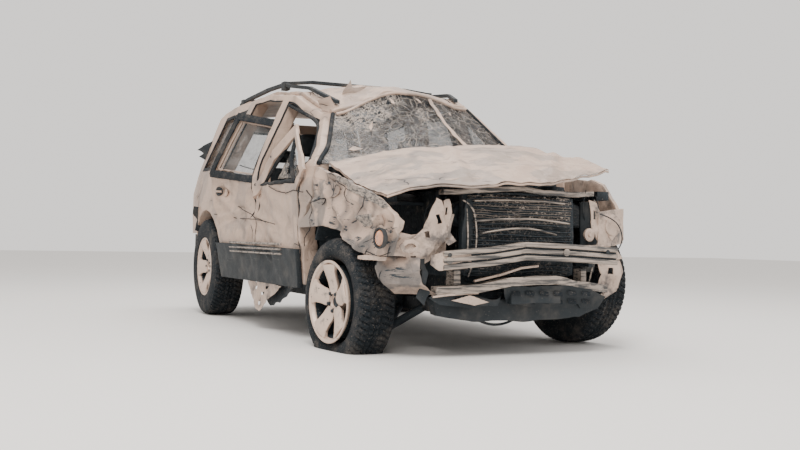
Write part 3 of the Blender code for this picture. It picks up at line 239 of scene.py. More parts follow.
def cream_paint(name="cream_paint", battered=1.0):
    """Dusty cream paint: patches of wear that are partly painted shading and reflections, grime, dark
    patches towards the bottom, cracks down to the dark primer that are partly painted shade in the creases,
    painted shadow beside them, and creases.
    """
    made = Finish(name, "paint", {"Metallic": 0.1, "Specular IOR Level": 0.5})
    bent = warped(made, 2.6, 0.22)
    parts = made.add("ShaderNodeSeparateXYZ", {}, {"Vector": made.place})
    nose = Number(made, parts.outputs["Y"]).step(-0.55, -1.25)
    right = Number(made, parts.outputs["X"]).step(0.1, -0.5)
    harm = nose * (0.35 + right * 0.65) * battered
    # Patches of wear that also stand for painted shading and reflections on the panels.
    worn_and_shaded = made.noise(3.4, 4, 0.55, bent).step(0.50, 0.57) * (0.22 + 0.25 * battered + harm * 0.30)
    tone = made.mix(worn_and_shaded, CREAM, WORN_AND_SHADED_CREAM)
    # Dark lines along the cells' edges: cracks down to the primer and painted shade in the creases, with a
    # wider painted shadow beside them.
    edges = made.cells(3.6, where=warped(made, 1.7, 0.55))
    share = made.noise(2.6, 3)
    crack_and_crease_shade = edges.step(0.014, 0.0) * (share + harm * 0.05).step(0.60, 0.66) * battered
    shadow = edges.step(0.20, 0.0) * (share + harm * 0.10).step(0.50, 0.66) * 0.30 * battered
    scratch = made.streaks(3, 0.7, (9, 60, 130), (0.5, 0.2, 0.1)).step(0.66, 0.74) * 0.35
    scuff = made.streaks(5, 0.72, (3, 7, 26), (0.55, 0.1, 0.0)).step(0.56, 0.68) * (0.15 + harm * 0.6)
    speck = made.noise(85, 3, 0.6).step(0.62, 0.70) * made.noise(4, 4).step(0.45, 0.62) * (0.35 + harm * 0.4)
    low = made.height().step(0.66, 0.20) * made.noise(7, 6, 0.65).step(0.40, 0.62) * 0.8
    dark = crack_and_crease_shade.highest(scratch * battered).highest(speck).highest(low)
    dark = dark.highest(shadow).highest(scuff * battered)
    made.set(Base_Color=made.mix(dark, tone, PRIMER_AND_SHADE))
    made.set(Roughness=0.34 + made.noise(12, 5, 0.6) * 0.26 + dark * 0.25)
    fold = made.cells(3.0, "F1", bent) * 0.5 + made.cells(7.5, "F1", bent) * 0.25
    made.relief([
        (fold, 0.026 * battered + 0.001),
        (made.noise(5.5, 4, 0.5, bent, 1.2), 0.018 * battered + 0.001),
        (crack_and_crease_shade, -0.006), (made.noise(150, 2), 0.0006),
    ])
    return made


def torn_metal():
    """Bare and painted sheet torn by the crash, cream on its flats and black in its hollows, the black being
    grime and painted shade.
    """
    made = Finish("torn_metal", "bare_metal", {"Metallic": 0.35})
    bent = warped(made, 9, 0.06)
    # The dark patches are grime and also painted shade in the sheet's hollows.
    grime = made.noise(8, 7, 0.68, bent).step(0.48, 0.66) * 0.85
    spots = made.noise(60, 4, 0.7).step(0.58, 0.70) * 0.5
    made.set(Base_Color=made.mix(grime.highest(spots) * 0.9, TORN_CREAM, PRIMER_AND_SHADE))
    made.set(Roughness=0.32 + made.noise(30, 4) * 0.4)
    made.relief([(made.cells(16, "F1", bent), 0.010), (made.noise(45, 4, 0.6), 0.003)])
    return made


def dirty_steel():
    """Dark underbody and engine parts, with pale dust on them."""
    made = Finish("dirty_steel", "dark_steel", {"Metallic": 0.3})
    dust = made.noise(11, 7, 0.66).step(0.55, 0.72) * 0.55
    chips = made.noise(70, 3, 0.6).step(0.66, 0.72) * 0.7
    made.set(Base_Color=made.mix(dust.highest(chips), DARK_STEEL, STEEL_DUST))
    made.set(Roughness=0.45 + made.noise(22, 4) * 0.35)
    made.relief([(made.noise(26, 6, 0.65), 0.006), (made.cells(38, "F1"), 0.003)])
    return made


def grained_plastic():
    """Navy-black grained trim with dust and scuffs."""
    made = Finish("grained_plastic", "black_plastic", {"Specular IOR Level": 0.35})
    dust = made.noise(7, 7, 0.62).step(0.46, 0.80) * 0.30
    scuff = made.streaks(4, 0.7, (60, 5, 70)).step(0.62, 0.72) * 0.35
    made.set(Base_Color=made.mix(dust.highest(scuff), DARK_PLASTIC, PLASTIC_DUST))
    made.set(Roughness=0.50 + made.noise(18, 4) * 0.3)
    made.relief([(made.noise(5, 3), 0.004), (made.noise(240, 2, 0.6), 0.0012)])
    return made


def dusty_rubber():
    made = Finish("dusty_rubber", "rubber", {"Specular IOR Level": 0.25})
    dust = made.noise(9, 8, 0.72).step(0.46, 0.80) * 0.28
    grit = made.noise(120, 3, 0.65).step(0.58, 0.70) * 0.34
    made.set(Base_Color=made.mix(dust.highest(grit), DARK_RUBBER, RUBBER_DUST))
    made.set(Roughness=0.78 + made.noise(20, 3) * 0.2)
    made.relief([(made.noise(120, 4, 0.65), 0.0020), (made.noise(22, 4), 0.003)])
    return made


def scuffed_alloy():
    made = Finish("scuffed_alloy", "alloy", {"Metallic": 0.25})
    grime = made.noise(14, 7, 0.66).step(0.54, 0.72) * 0.8
    chips = made.noise(48, 4, 0.62).step(0.64, 0.70) * 0.9
    made.set(Base_Color=made.mix(grime.highest(chips), PALE_ALLOY, ALLOY_GRIME))
    made.set(Roughness=0.28 + made.noise(24, 4) * 0.35)
    made.relief([(made.noise(60, 4, 0.6), 0.0012)])
    return made


def clear_glass():
    """A dusty pane. Dust hides more of it than the glass does."""
    made = Finish("clear_glass", "glass", {"Specular IOR Level": 0.8, "Roughness": 0.06})
    dust = made.noise(9, 6, 0.65).step(0.40, 0.85)
    made.set(Base_Color=made.mix(dust, GLASS_TINT, GLASS_DUST))
    made.set(Alpha=0.16 + dust * 0.22)
    return made


def crazed_pane():
    """Laminated glass, crazed all over, whitish, with darker patches that can be seen through."""
    made = Finish("crazed_pane", "crazed_glass", {"Specular IOR Level": 0.35})
    bent = warped(made, 4, 0.07)
    coarse = made.cells(13, where=bent).step(0.030, 0.0)
    fine = made.cells(30, where=bent).step(0.050, 0.015)
    rays = made.streaks(3, 0.7, (60, 7, 8), (0.0, 0.6, 0.4)).step(0.61, 0.65) * 0.7
    clear = made.noise(3.2, 4, 0.58, bent).step(0.42, 0.54)
    grains = made.noise(48, 3, 0.75, bent).step(0.49, 0.55)
    pale = (fine * (1.0 - clear * 0.5)).highest(coarse).highest(rays).highest(grains * (1.0 - clear) * 0.95)
    lines = coarse.highest(fine)
    made.set(Base_Color=made.mix(pale, DARK_PANE, CRAZE))
    made.set(Alpha=(0.92 - clear * 0.42).highest(pale * 0.95))
    made.set(Roughness=0.18 + pale * 0.5)
    made.relief(
        [(lines, 0.0016), (made.noise(7, 4, 0.6, bent), 0.022), (made.cells(46, "F1", bent), 0.0020)]
    )
    return made


def cloth_trim():
    made = Finish("cloth_trim", "trim", {"Specular IOR Level": 0.2})
    weave = made.streaks(2, 0.5, (420, 60, 420))
    tone = made.noise(8, 5).step(0.35, 0.75)
    made.set(Base_Color=made.mix(tone, DARK_CLOTH, CLOTH_DUST))
    made.set(Roughness=0.85 + weave * 0.1)
    made.relief([(weave, 0.0012), (made.noise(14, 4), 0.006)])
    return made


def tinted_lens(name, colour):
    made = Finish(name, "lamp", {"Specular IOR Level": 0.8, "Roughness": 0.12, "Coat Weight": 0.5})
    cells = made.cells(70, "F1")
    grime = made.noise(30, 5, 0.6).step(0.50, 0.68)
    made.set(Base_Color=made.mix(grime * 0.7, colour, LENS_GRIME))
    made.relief([(cells, 0.004)])
    return made


PAINT = cream_paint()
STRAIGHT_PAINT = cream_paint("straight_paint", 0.30)
SCUFFED_PAINT = cream_paint("scuffed_paint", 1.7)
METAL = torn_metal()
STEEL = dirty_steel()
PLASTIC = grained_plastic()
RUBBER = dusty_rubber()
ALLOY = scuffed_alloy()
GLASS = clear_glass()
CRAZED = crazed_pane()
TRIM = cloth_trim()
AMBER = tinted_lens("amber_lens", AMBER_TONE)
RED = tinted_lens("red_lens", RED_TONE)
SLOT_FINISH = {
    "paint": PAINT, "bare_metal": METAL, "dark_steel": STEEL, "black_plastic": PLASTIC, "rubber": RUBBER,
    "alloy": ALLOY, "glass": GLASS, "crazed_glass": CRAZED, "trim": TRIM, "lamp": RED,
}


# Modelling

def pick(piece):
    bpy.ops.object.select_all(action="DESELECT")
    piece.select_set(True)
    bpy.context.view_layer.objects.active = piece
    return piece


class Editing:
    """Edit mode on a piece, with all of it selected."""

    def __init__(self, piece):
        pick(piece)

    def __enter__(self):
        bpy.ops.object.mode_set(mode="EDIT")
        bpy.ops.mesh.select_all(action="SELECT")

    def __exit__(self, *failure):
        bpy.ops.object.mode_set(mode="OBJECT")


def linked(name, data):
    """A new object in the scene."""
    made = bpy.data.objects.new(name, data)
    bpy.context.scene.collection.objects.link(made)
    return made


def grain(x, y, z):
    """Smooth noise at a place, between -1 and 1."""
    return noise.noise(Vector((x, y, z)))


def modify(piece, kind, **settings):
    pick(piece)
    bpy.ops.object.modifier_add(type=kind)
    modifier = piece.modifiers[-1]
    for setting, value in settings.items():
        setattr(modifier, setting, value)
    bpy.ops.object.modifier_apply(modifier=modifier.name)
    return piece


def outward(piece):
    """Turns every face outwards."""
    with Editing(piece):
        bpy.ops.mesh.normals_make_consistent(inside=False)
    return piece


def softened(piece, width, angle=40, segments=2):
    """Rounds the edges that turn by more than the angle, in degrees."""
    return modify(
        piece, "BEVEL", width=width, segments=segments, limit_method="ANGLE",
        angle_limit=math.radians(angle),
    )


def settle(piece, name, finish, smooth=40.0, body="body", replaces=(), drawn=True):
    """Bakes the place of a piece, or of several made one, and gives it its finish and body."""
    if isinstance(piece, list):
        piece = merged(piece)
    piece.name = name
    piece.data.name = name
    pick(piece)
    bpy.ops.object.transform_apply(location=True, rotation=True, scale=True)
    if drawn:
        piece.data.transform(Matrix.Translation(FROM_WHEELBASE))
    outward(piece)
    piece.data.materials.clear()
    piece.data.materials.append(finish.material)
    bpy.ops.object.shade_smooth_by_angle(angle=math.radians(smooth))
    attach(piece, body)
    if replaces:
        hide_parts(*replaces)
    return piece


def merged(pieces):
    """Several new pieces made one."""
    pick(pieces[0])
    for piece in pieces:
        piece.select_set(True)
    bpy.ops.object.join()
    return pieces[0]


def mesh_piece(name, points, faces, edges=()):
    mesh = bpy.data.meshes.new(name)
    mesh.from_pydata([tuple(p) for p in points], edges, faces)
    return linked(name, mesh)


def refined(piece, longest):
    """Divides long edges until none is longer."""
    pick(piece)
    for _ in range(8):
        bpy.ops.object.mode_set(mode="EDIT")
        bpy.ops.mesh.select_mode(type="EDGE")
        bpy.ops.mesh.select_all(action="DESELECT")
        bpy.ops.object.mode_set(mode="OBJECT")
        places = piece.data.vertices
        count = 0
        for edge in piece.data.edges:
            a, b = edge.vertices
            edge.select = (places[a].co - places[b].co).length > longest
            count += edge.select
        if not count:
            break
        bpy.ops.object.mode_set(mode="EDIT")
        bpy.ops.mesh.subdivide(number_cuts=1)
        bpy.ops.mesh.select_all(action="SELECT")
        bpy.ops.mesh.quads_convert_to_tris()
        bpy.ops.object.mode_set(mode="OBJECT")
    return piece


def shape_of(node, soft_edge, longest):
    """A new piece from a CAD node's shape, its edges rounded and its faces divided."""
    made = linked("copy", NODES[node].data.copy())
    with Editing(made):
        bpy.ops.mesh.remove_doubles(threshold=0.00002)
    if soft_edge:
        softened(made, soft_edge, 38)
    return refined(made, longest)


def moved(piece, change):
    """Moves each point by what change(point) gives, both measured from the wheelbase."""
    for vertex in piece.data.vertices:
        vertex.co += change(vertex.co - FROM_WHEELBASE)
    return piece


# Shapes made from given points and sizes

def box_of(node):
    low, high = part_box(node)
    return low - FROM_WHEELBASE, high - FROM_WHEELBASE


def block(low, high, soft=0.003):
    middle = [(a + b) / 2 for a, b in zip(low, high)]
    bpy.ops.object.select_all(action="DESELECT")
    bpy.ops.mesh.primitive_cube_add(size=1, location=middle)
    made = bpy.context.object
    made.scale = [b - a for a, b in zip(low, high)]
    bpy.ops.object.transform_apply(location=True, rotation=True, scale=True)
    if soft:
        modify(made, "BEVEL", width=soft, segments=2)
    return made


def bar(path, size, soft=0.002, facing="X"):
    """A bar of one cross section pulled along a path. size is across it and up, in metres."""
    turn = {"X": (0, math.pi / 2, 0), "Y": (math.pi / 2, 0, 0), "Z": (0, 0, 0)}[facing]
    bpy.ops.object.select_all(action="DESELECT")
    bpy.ops.mesh.primitive_plane_add(size=1, location=path[0], rotation=turn)
    made = bpy.context.object
    made.scale = (size[1], size[0], 1) if facing == "X" else (size[0], size[1], 1)
    bpy.ops.object.transform_apply(location=True, rotation=True, scale=True)
    with Editing(made):
        for here, there in zip(path, path[1:]):
            step = [b - a for a, b in zip(here, there)]
            bpy.ops.mesh.extrude_region_move(TRANSFORM_OT_translate={"value": step})
        bpy.ops.mesh.select_all(action="SELECT")
        bpy.ops.mesh.normals_make_consistent(inside=False)
    if soft:
        softened(made, soft)
    return made


def drum(start, end, radius, end_radius=None, sides=24, soft=0.0015):
    """A round part between two points, its rims softened."""
    start, end = Vector(start), Vector(end)
    axis = end - start
    bpy.ops.object.select_all(action="DESELECT")
    bpy.ops.mesh.primitive_cone_add(
        vertices=sides, radius1=radius, radius2=radius if end_radius is None else end_radius,
        depth=axis.length, location=(start + end) / 2, rotation=axis.to_track_quat("Z", "Y").to_euler(),
    )
    made = bpy.context.object
    bpy.ops.object.transform_apply(location=True, rotation=True, scale=True)
    if soft:
        softened(made, soft, 50)
    return made


def spun(profile, sides=48):
    """A profile of (x, radius) points spun round the X axis."""
    edges = [(i, i + 1) for i in range(len(profile) - 1)]
    made = mesh_piece("profile", [(x, 0, radius) for x, radius in profile], [], edges)
    with Editing(made):
        bpy.ops.mesh.spin(steps=sides, angle=math.tau, center=(0, 0, 0), axis=(1, 0, 0), dupli=False)
        bpy.ops.mesh.select_all(action="SELECT")
        bpy.ops.mesh.remove_doubles(threshold=0.00005)
        bpy.ops.mesh.normals_make_consistent(inside=False)
    return made


def tube(points, radius, closed=False, smooth=True, sides=3):
    """A round tube along a path."""
    drawn = bpy.data.curves.new("tube", "CURVE")
    drawn.dimensions = "3D"
    drawn.bevel_depth = radius
    drawn.bevel_resolution = sides
    drawn.use_fill_caps = not closed
    line = drawn.splines.new("NURBS" if smooth else "POLY")
    line.points.add(len(points) - 1)
    for point, place in zip(line.points, points):
        point.co = (*place, 1)
    line.use_cyclic_u = closed
    if smooth:
        line.order_u = 3
        line.use_endpoint_u = not closed
        line.resolution_u = 5
    pick(linked("tube", drawn))
    bpy.ops.object.convert(target="MESH")
    return bpy.context.object


def inside(point, outline):
    hit = False
    for a, b in zip(outline, outline[1:] + outline[:1]):
        if (a[1] > point[1]) != (b[1] > point[1]):
            if point[0] < a[0] + (b[0] - a[0]) * (point[1] - a[1]) / (b[1] - a[1]):
                hit = not hit
    return hit


def divided(outline, step):
    points = []
    for a, b in zip(outline, outline[1:] + outline[:1]):
        count = max(1, math.ceil(math.dist(a, b) / step - 0.01))
        points += [
            (a[0] + (b[0] - a[0]) * i / count, a[1] + (b[1] - a[1]) * i / count) for i in range(count)
        ]
    return points


def sheet(outline, holes, step, place, wall):
    """A sheet cut to an outline with holes, laid where place(u, v) says and given its thickness."""
    loops = [divided(loop, step) for loop in [outline, *holes]]
    points, edges = [], []
    for loop in loops:
        start = len(points)
        points += loop
        edges += [(start + i, start + (i + 1) % len(loop)) for i in range(len(loop))]
    low = [min(p[k] for p in outline) for k in (0, 1)]
    high = [max(p[k] for p in outline) for k in (0, 1)]
    for i in range(1, math.ceil((high[0] - low[0]) / step)):
        for j in range(1, math.ceil((high[1] - low[1]) / step)):
            net = (low[0] + (i + 0.3 * (j % 2)) * step, low[1] + j * step)
            if inside(net, loops[0]) and not any(inside(net, hole) for hole in loops[1:]):
                if all(math.dist(net, p) > step * 0.55 for loop in loops for p in loop):
                    points.append(net)
    found, _, faces, *_ = delaunay_2d_cdt([Vector(p) for p in points], edges, [], 0, 1e-7)
    kept = []
    for face in faces:
        middle = [sum(found[i][k] for i in face) / len(face) for k in (0, 1)]
        if inside(middle, loops[0]) and not any(inside(middle, hole) for hole in loops[1:]):
            kept.append(face)
    made = mesh_piece("sheet", [place(*p) for p in found], kept)
    with Editing(made):
        bpy.ops.mesh.normals_make_consistent(inside=False)
        bpy.ops.mesh.delete_loose()
    return modify(made, "SOLIDIFY", thickness=wall, offset=0)


# Stage

SKY_COLOUR, SKY_STRENGTH = (1.0, 0.965, 0.93, 1), 1.22
LAMPS_FACE = Vector((0, -0.4, 0.5))
LAMPS = (
    # name, place, size, watts, colour
    ("key", (-3.5, -6.0, 7.5), 3.2, 820, (1.0, 0.965, 0.925)),
    ("fill", (6.0, -5.0, 4.0), 5.0, 90, (0.95, 0.97, 1.0)),
    ("overhead", (0.5, 1.5, 6.5), 4.5, 240, (1.0, 0.975, 0.95)),
)


def stage():
    bpy.ops.object.select_all(action="DESELECT")
    bpy.ops.mesh.primitive_plane_add(size=60, location=FROM_WHEELBASE)
    floor = bpy.context.object
    floor.name = "floor"
    pale = Finish("pale_floor", "trim", {"Roughness": 0.95, "Specular IOR Level": 0.0})
    pale.set(Base_Color=pale.mix(pale.noise(0.6, 3), FLOOR_LOW, FLOOR_HIGH))
    floor.data.materials.append(pale.material)
    world = bpy.data.worlds.new("studio")
    world.use_nodes = True
    sky = world.node_tree.nodes["Background"].inputs
    sky["Color"].default_value = SKY_COLOUR
    sky["Strength"].default_value = SKY_STRENGTH
    bpy.context.scene.world = world
    for name, place, size, watts, colour in LAMPS:
        bpy.ops.object.light_add(type="AREA", location=place)
        lamp = bpy.context.object
        lamp.name = name
        lamp.data.size = size
        lamp.data.energy = watts
        lamp.data.color = colour
        lamp.rotation_euler = (LAMPS_FACE - lamp.location).to_track_quat("-Z", "Y").to_euler()


def camera():
    bpy.ops.object.camera_add()
    eye = bpy.context.object
    eye.name = "photo_camera"
    eye.data.lens = LENS
    eye.data.sensor_width = SENSOR
    eye.matrix_world = Matrix.Translation(EYE + FROM_WHEELBASE) @ AXES.to_4x4()
    bpy.context.scene.camera = eye


# The crash's dents

def ramp(value, low, high):
    share = min(1.0, max(0.0, (value - low) / (high - low)))
    return share * share * (3 - 2 * share)


def dent(p, size, seed):
    """0 on a crease, rising to 1 in the hollows between creases."""
    return min(1.0, 2.3 * abs(grain(p.x / size + seed, p.y / size, p.z / size)))


# Straight creases: their two ends, how far each reaches, and how deep its sides are drawn in
FOLDS = (
    ((-0.90, 0.98, 0.96), (-0.90, 0.25, 0.62), 0.09, (0.024, 0, 0)),
    ((-0.90, 0.90, 0.74), (-0.90, 0.20, 0.80), 0.06, (0.017, 0, 0)),
    ((-0.90, 0.05, 0.86), (-0.90, -0.62, 0.60), 0.08, (0.022, 0, 0)),
    ((-0.90, 0.30, 0.90), (-0.90, -0.30, 0.46), 0.07, (0.020, 0, 0)),
    ((-0.90, 0.78, 0.97), (-0.90, 0.42, 0.88), 0.05, (0.014, 0, 0)),
    ((-0.88, -1.02, 0.95), (-0.86, -1.50, 0.66), 0.10, (0.018, 0, 0)),
    ((-0.88, -1.20, 0.70), (-0.82, -1.90, 0.72), 0.08, (0.018, 0, 0)),
    ((-0.88, -0.90, 0.78), (-0.86, -1.40, 0.92), 0.08, (0.014, 0, 0)),
    ((-0.58, 0.95, 1.66), (-0.25, -0.30, 1.53), 0.12, (0, 0, -0.016)),
    ((-0.62, 0.30, 1.58), (-0.10, 0.10, 1.66), 0.10, (0, 0, -0.012)),
    ((0.10, -1.95, 0.96), (0.62, -1.20, 1.16), 0.12, (0, 0, -0.014)),
    ((-0.35, -1.85, 0.93), (-0.05, -1.10, 1.16), 0.12, (0, 0, -0.014)),
)


def fold_pull(p):
    pull = Vector((0, 0, 0))
    for start, end, reach, depth in FOLDS:
        start, along = Vector(start), Vector(end) - Vector(start)
        share = min(1.0, max(0.0, (p - start).dot(along) / along.length_squared))
        gap = (p - start - along * share).length
        if gap < reach * 1.6:
            pull += Vector(depth) * ramp(gap, 0.0, reach * 0.5) * (1 - ramp(gap, reach * 0.5, reach * 1.6))
    return pull


def crash(p):
    """How far the crash pushed a point of the body in from its drawn place."""
    side = max(-1.0, min(1.0, p.x / 0.3))
    right = ramp(-p.x, 0.2, 0.6)
    nose = ramp(-p.y, 0.7, 1.1)
    sides = 0.0025 + right * (0.026 * nose + 0.016 * ramp(-p.y, -1.0, -0.2) * (1 - ramp(p.z, 1.0, 1.2)))
    sides += 0.008 * nose * (1 - right)
    roof = ramp(p.z, 1.2, 1.45) * ramp(-p.y, -0.9, 0.2)
    tops = 0.0015 + 0.022 * roof * (0.45 + 0.55 * right) + 0.014 * nose * ramp(p.z, 0.75, 0.9)
    hollow = 0.65 * dent(p, 0.30, 3.1) + 0.35 * dent(p, 0.11, 8.4)
    top_hollow = 0.65 * dent(p, 0.34, 5.7) + 0.35 * dent(p, 0.12, 1.9)
    return Vector((-side * sides * hollow, 0, -tops * top_hollow)) + fold_pull(p)


BODY_NODES = {
    member: body for body, members in frame["record"]["behaviour"]["bodies"].items() for member in members
}


def dressed(node, finish, soft=0.003, longest=0.035, change=crash, smooth=35.0):
    """The CAD node's own shape with rounded edges and the crash's dents, in its place."""
    made = shape_of(node, soft, longest)
    if change:
        moved(made, change)
    return settle(made, node + "_skin", finish, smooth, body=BODY_NODES[node], replaces=(node,), drawn=False)


def finish_cad_nodes():
    """Every CAD node that stays in view gets its slot's finish."""
    for node in NODES.values():
        for holder in node.material_slots:
            known = [slot for slot in SLOT_FINISH if slot in holder.material.name]
            if known:
                holder.material = SLOT_FINISH[max(known, key=len)].material


PANELS = (
    # node, finish, longest edge
    ("side_frame_right", PAINT, 0.035), ("side_frame_left", STRAIGHT_PAINT, 0.05),
    ("door_rear_right", PAINT, 0.03), ("door_front_right", PAINT, 0.03),
    ("door_front_left", STRAIGHT_PAINT, 0.05), ("door_rear_left", STRAIGHT_PAINT, 0.05),
    ("roof_panel", PAINT, 0.035), ("fender_right", SCUFFED_PAINT, 0.022), ("fender_left", PAINT, 0.03),
    ("tailgate", STRAIGHT_PAINT, 0.05), ("bumper_corner_right", SCUFFED_PAINT, 0.016),
    ("bumper_corner_left", SCUFFED_PAINT, 0.018),
)


def body_panels():
    for node, finish, longest in PANELS:
        dressed(node, finish, 0.004, longest)
    for node in ("cladding_right", "cladding_left", "rear_bumper", "air_guide_left", "air_guide_right"):
        dressed(node, PLASTIC, 0.004, 0.05)


# Wheels

TREAD_LUGS, TREAD_DEPTH = 62, 0.0105
TYRE_STEPS, TREAD_HALF = 310, 0.098
# Radii: the tread cut starts at TREAD_FROM, the wall has a moulded ring
TREAD_FROM, WALL_FROM, WALL_TO, WALL_RING = 0.318, 0.235, 0.31, 0.262
FINE_PIECE, COARSE_PIECE = 0.0040, 0.009
SPOKES = 5
FRONT_TURN = 6.5


def tread_cut(angle, across):
    """How deep the tread is cut at a place on the tyre, 0 to 1."""
    share = across / TREAD_HALF
    if abs(share) > 1.12:
        return 0.0
    pitch = math.tau / TREAD_LUGS
    row = angle / pitch + 0.35 * math.sin(4.2 * share) + (0.5 if share > 0 else 0)
    cross = abs((row % 1) - 0.5) * 2
    lug = ramp(cross, 0.70, 0.80)
    ring = max(1 - ramp(abs(abs(share) - 0.30), 0.045, 0.075), 1 - ramp(abs(share), 0.02, 0.04))
    if abs(share) > 0.92:
        return lug * (1 - ramp(abs(share), 1.02, 1.12))
    sipe = (1 - ramp(abs(cross - 0.30), 0.02, 0.05)) * 0.5
    return max(lug, ring * 0.9, sipe)


def tyre(name, profile, place, body, flat=False):
    """A tyre spun from its profile, with its tread cut in and rings moulded in its walls."""
    rounded = []
    for (x0, r0), (x1, r1) in zip(profile, profile[1:]):
        longest = FINE_PIECE if min(r0, r1) > WALL_TO else COARSE_PIECE
        pieces = max(1, round(math.dist((x0, r0), (x1, r1)) / longest))
        rounded += [(x0 + (x1 - x0) * k / pieces, r0 + (r1 - r0) * k / pieces) for k in range(pieces)]
    made = spun([*rounded, profile[0]], TYRE_STEPS)
    for vertex in made.data.vertices:
        x, y, z = vertex.co
        radius = math.hypot(y, z)
        angle = math.atan2(z, y)
        out = 0.0
        if radius > TREAD_FROM:
            out = -TREAD_DEPTH * tread_cut(angle, x)
        elif WALL_FROM < radius < WALL_TO:
            ring = 1 - ramp(abs(radius - WALL_RING), 0.002, 0.004)
            wave = 0.004 * grain(x * 9, y * 9, z * 9)
            vertex.co.x -= (0.0022 * ring + abs(wave)) * (1 if x > 0 else -1)
        scale = (radius + out) / radius
        vertex.co.y *= scale
        vertex.co.z *= scale
    made.data.transform(place)
    if flat:
        for vertex in made.data.vertices:
            if vertex.co.z < 0.012:
                vertex.co.z = max(0.0, vertex.co.z * 0.12 + 0.0008)
    return settle(made, name + "_tread", RUBBER, 50.0, body=body, replaces=(name,))


def mirrored(half):
    """The points, then their mirror images in the other order."""
    return half + [(-x, y) for x, y in reversed(half)]


# Profiles are (x, radius)
TYRE_PROFILE = mirrored([
    (-0.098, 0.2115), (-0.098, 0.2224), (-0.112, 0.227), (-0.1165, 0.260), (-0.1170, 0.288),
    (-0.114, 0.318), (-0.104, 0.3495), (-0.092, 0.3585), (-0.070, 0.3640), (-0.035, 0.3672),
])
FLAT_PROFILE = [
    (-0.098, 0.2175), (-0.098, 0.229), (-0.112, 0.234), (-0.120, 0.250), (-0.124, 0.270), (-0.1235, 0.295),
    (-0.120, 0.318), (-0.112, 0.331), (-0.100, 0.340), (-0.065, 0.3435), (-0.030, 0.345), (0.010, 0.3445),
    (0.045, 0.342), (0.064, 0.336), (0.078, 0.328), (0.086, 0.312), (0.092, 0.290), (0.091, 0.270),
    (0.086, 0.250), (0.070, 0.234), (0.052, 0.218),
]


def wheel_place(side, hub, steer=0.0):
    turn = Matrix.Rotation(math.radians(steer), 4, "Z")
    if side < 0:
        turn = turn @ Matrix.Rotation(math.pi, 4, "Z")
    return Matrix.Translation(hub) @ turn


BARREL_PROFILE = [
    (-0.1075, 0.206), (-0.1075, 0.2205), (-0.106, 0.2218), (-0.099, 0.2218), (-0.0984, 0.2112),
    (-0.088, 0.206), (-0.05, 0.196), (0.05, 0.196), (0.080, 0.202), (0.080, 0.192), (-0.085, 0.190),
    (-0.1075, 0.206),
]
LIP_PROFILE = [
    (0.079, 0.2025), (0.088, 0.2065), (0.0984, 0.2112), (0.099, 0.2218), (0.106, 0.2218), (0.1076, 0.2205),
    (0.1074, 0.212), (0.103, 0.206), (0.094, 0.2025), (0.086, 0.196), (0.079, 0.196), (0.079, 0.2025),
]
HUB_PROFILE = [
    (0.030, 0.0), (0.030, 0.066), (0.060, 0.066), (0.068, 0.062), (0.070, 0.036), (0.060, 0.033),
    (0.058, 0.0),
]
CAP_PROFILE = [
    (0.0575, 0.0), (0.0580, 0.0), (0.0605, 0.022), (0.0585, 0.032), (0.0570, 0.032), (0.0570, 0.0),
]
DRUM_PROFILE = [
    (-0.020, 0.0), (-0.020, 0.155), (0.008, 0.155), (0.010, 0.150), (0.010, 0.085), (0.028, 0.080),
    (0.028, 0.0),
]
SPOKE_OUTLINE = mirrored([
    (-0.012, 0.040), (-0.036, 0.052), (-0.046, 0.085), (-0.046, 0.120), (-0.053, 0.160), (-0.072, 0.188),
    (-0.062, 0.1990),
])


def on_spoke(u, v):
    crown = 0.010 * (1 - min(1.0, (u / 0.05) ** 2))
    return Vector((0.058 + 0.034 * ramp(v, 0.06, 0.20) + crown, u, v))


def rim(node, place, body, turned_by):
    """A cast wheel with five broad spokes, a dished middle, five nuts and a stepped lip."""
    barrel = spun(BARREL_PROFILE, 96)
    barrel.data.transform(place)
    settle(barrel, node + "_barrel", STEEL, 32.0, body=body)
    parts = [spun(LIP_PROFILE, 96)]
    for k in range(SPOKES):
        spoke = sheet(SPOKE_OUTLINE, [], 0.012, on_spoke, 0.022)
        softened(spoke, 0.004, 50)
        spoke.data.transform(Matrix.Rotation(math.tau * k / SPOKES + turned_by, 4, "X"))
        parts.append(spoke)
    parts.append(spun(HUB_PROFILE, 60))
    made = merged(parts)
    made.data.transform(place)
    settle(made, node + "_cast", ALLOY, 32.0, body=body, replaces=(node,))
    dark = [spun(CAP_PROFILE, 40)]
    for k in range(SPOKES):
        angle = math.tau * (k + 0.5) / SPOKES + turned_by
        middle = Vector((0.0, 0.050 * math.sin(angle), 0.050 * math.cos(angle)))
        for start, end, radius, end_radius, sides, soft in (
            (0.066, 0.0712, 0.0150, 0.0145, 20, 0.0), (0.067, 0.084, 0.0105, 0.0095, 6, 0.0012),
        ):
            ends = middle + Vector((start, 0, 0)), middle + Vector((end, 0, 0))
            dark.append(drum(*ends, radius, end_radius, sides, soft))
    dark.append(spun(DRUM_PROFILE, 60))
    fittings = merged(dark)
    fittings.data.transform(place)
    settle(fittings, node + "_fittings", STEEL, 35.0, body=body)


WHEELS = (
    # name, side, hub, steered by in degrees, spokes turned by in radians
    ("rear_right", -1, (-0.775, 1.31, 0.3675), 0.0, 0.35),
    ("rear_left", 1, (0.775, 1.31, 0.3675), 0.0, 0.10),
    ("front_right", -1, (-0.775, -1.31, 0.262), FRONT_TURN, 0.05),
    ("front_left", 1, (0.730, -1.25, 0.3675), FRONT_TURN, 0.2),
)


def wheels():
    for name, side, hub, steer, turned_by in WHEELS:
        place = wheel_place(side, hub, steer)
        burst = name == "front_right"
        profile = FLAT_PROFILE if burst else TYRE_PROFILE
        tyre("tyre_" + name, profile, place, BODY_NODES["tyre_" + name], burst)
        rim("rim_" + name, place, BODY_NODES["rim_" + name], turned_by)


# The body's surface, as the solids have it, for what is laid on it

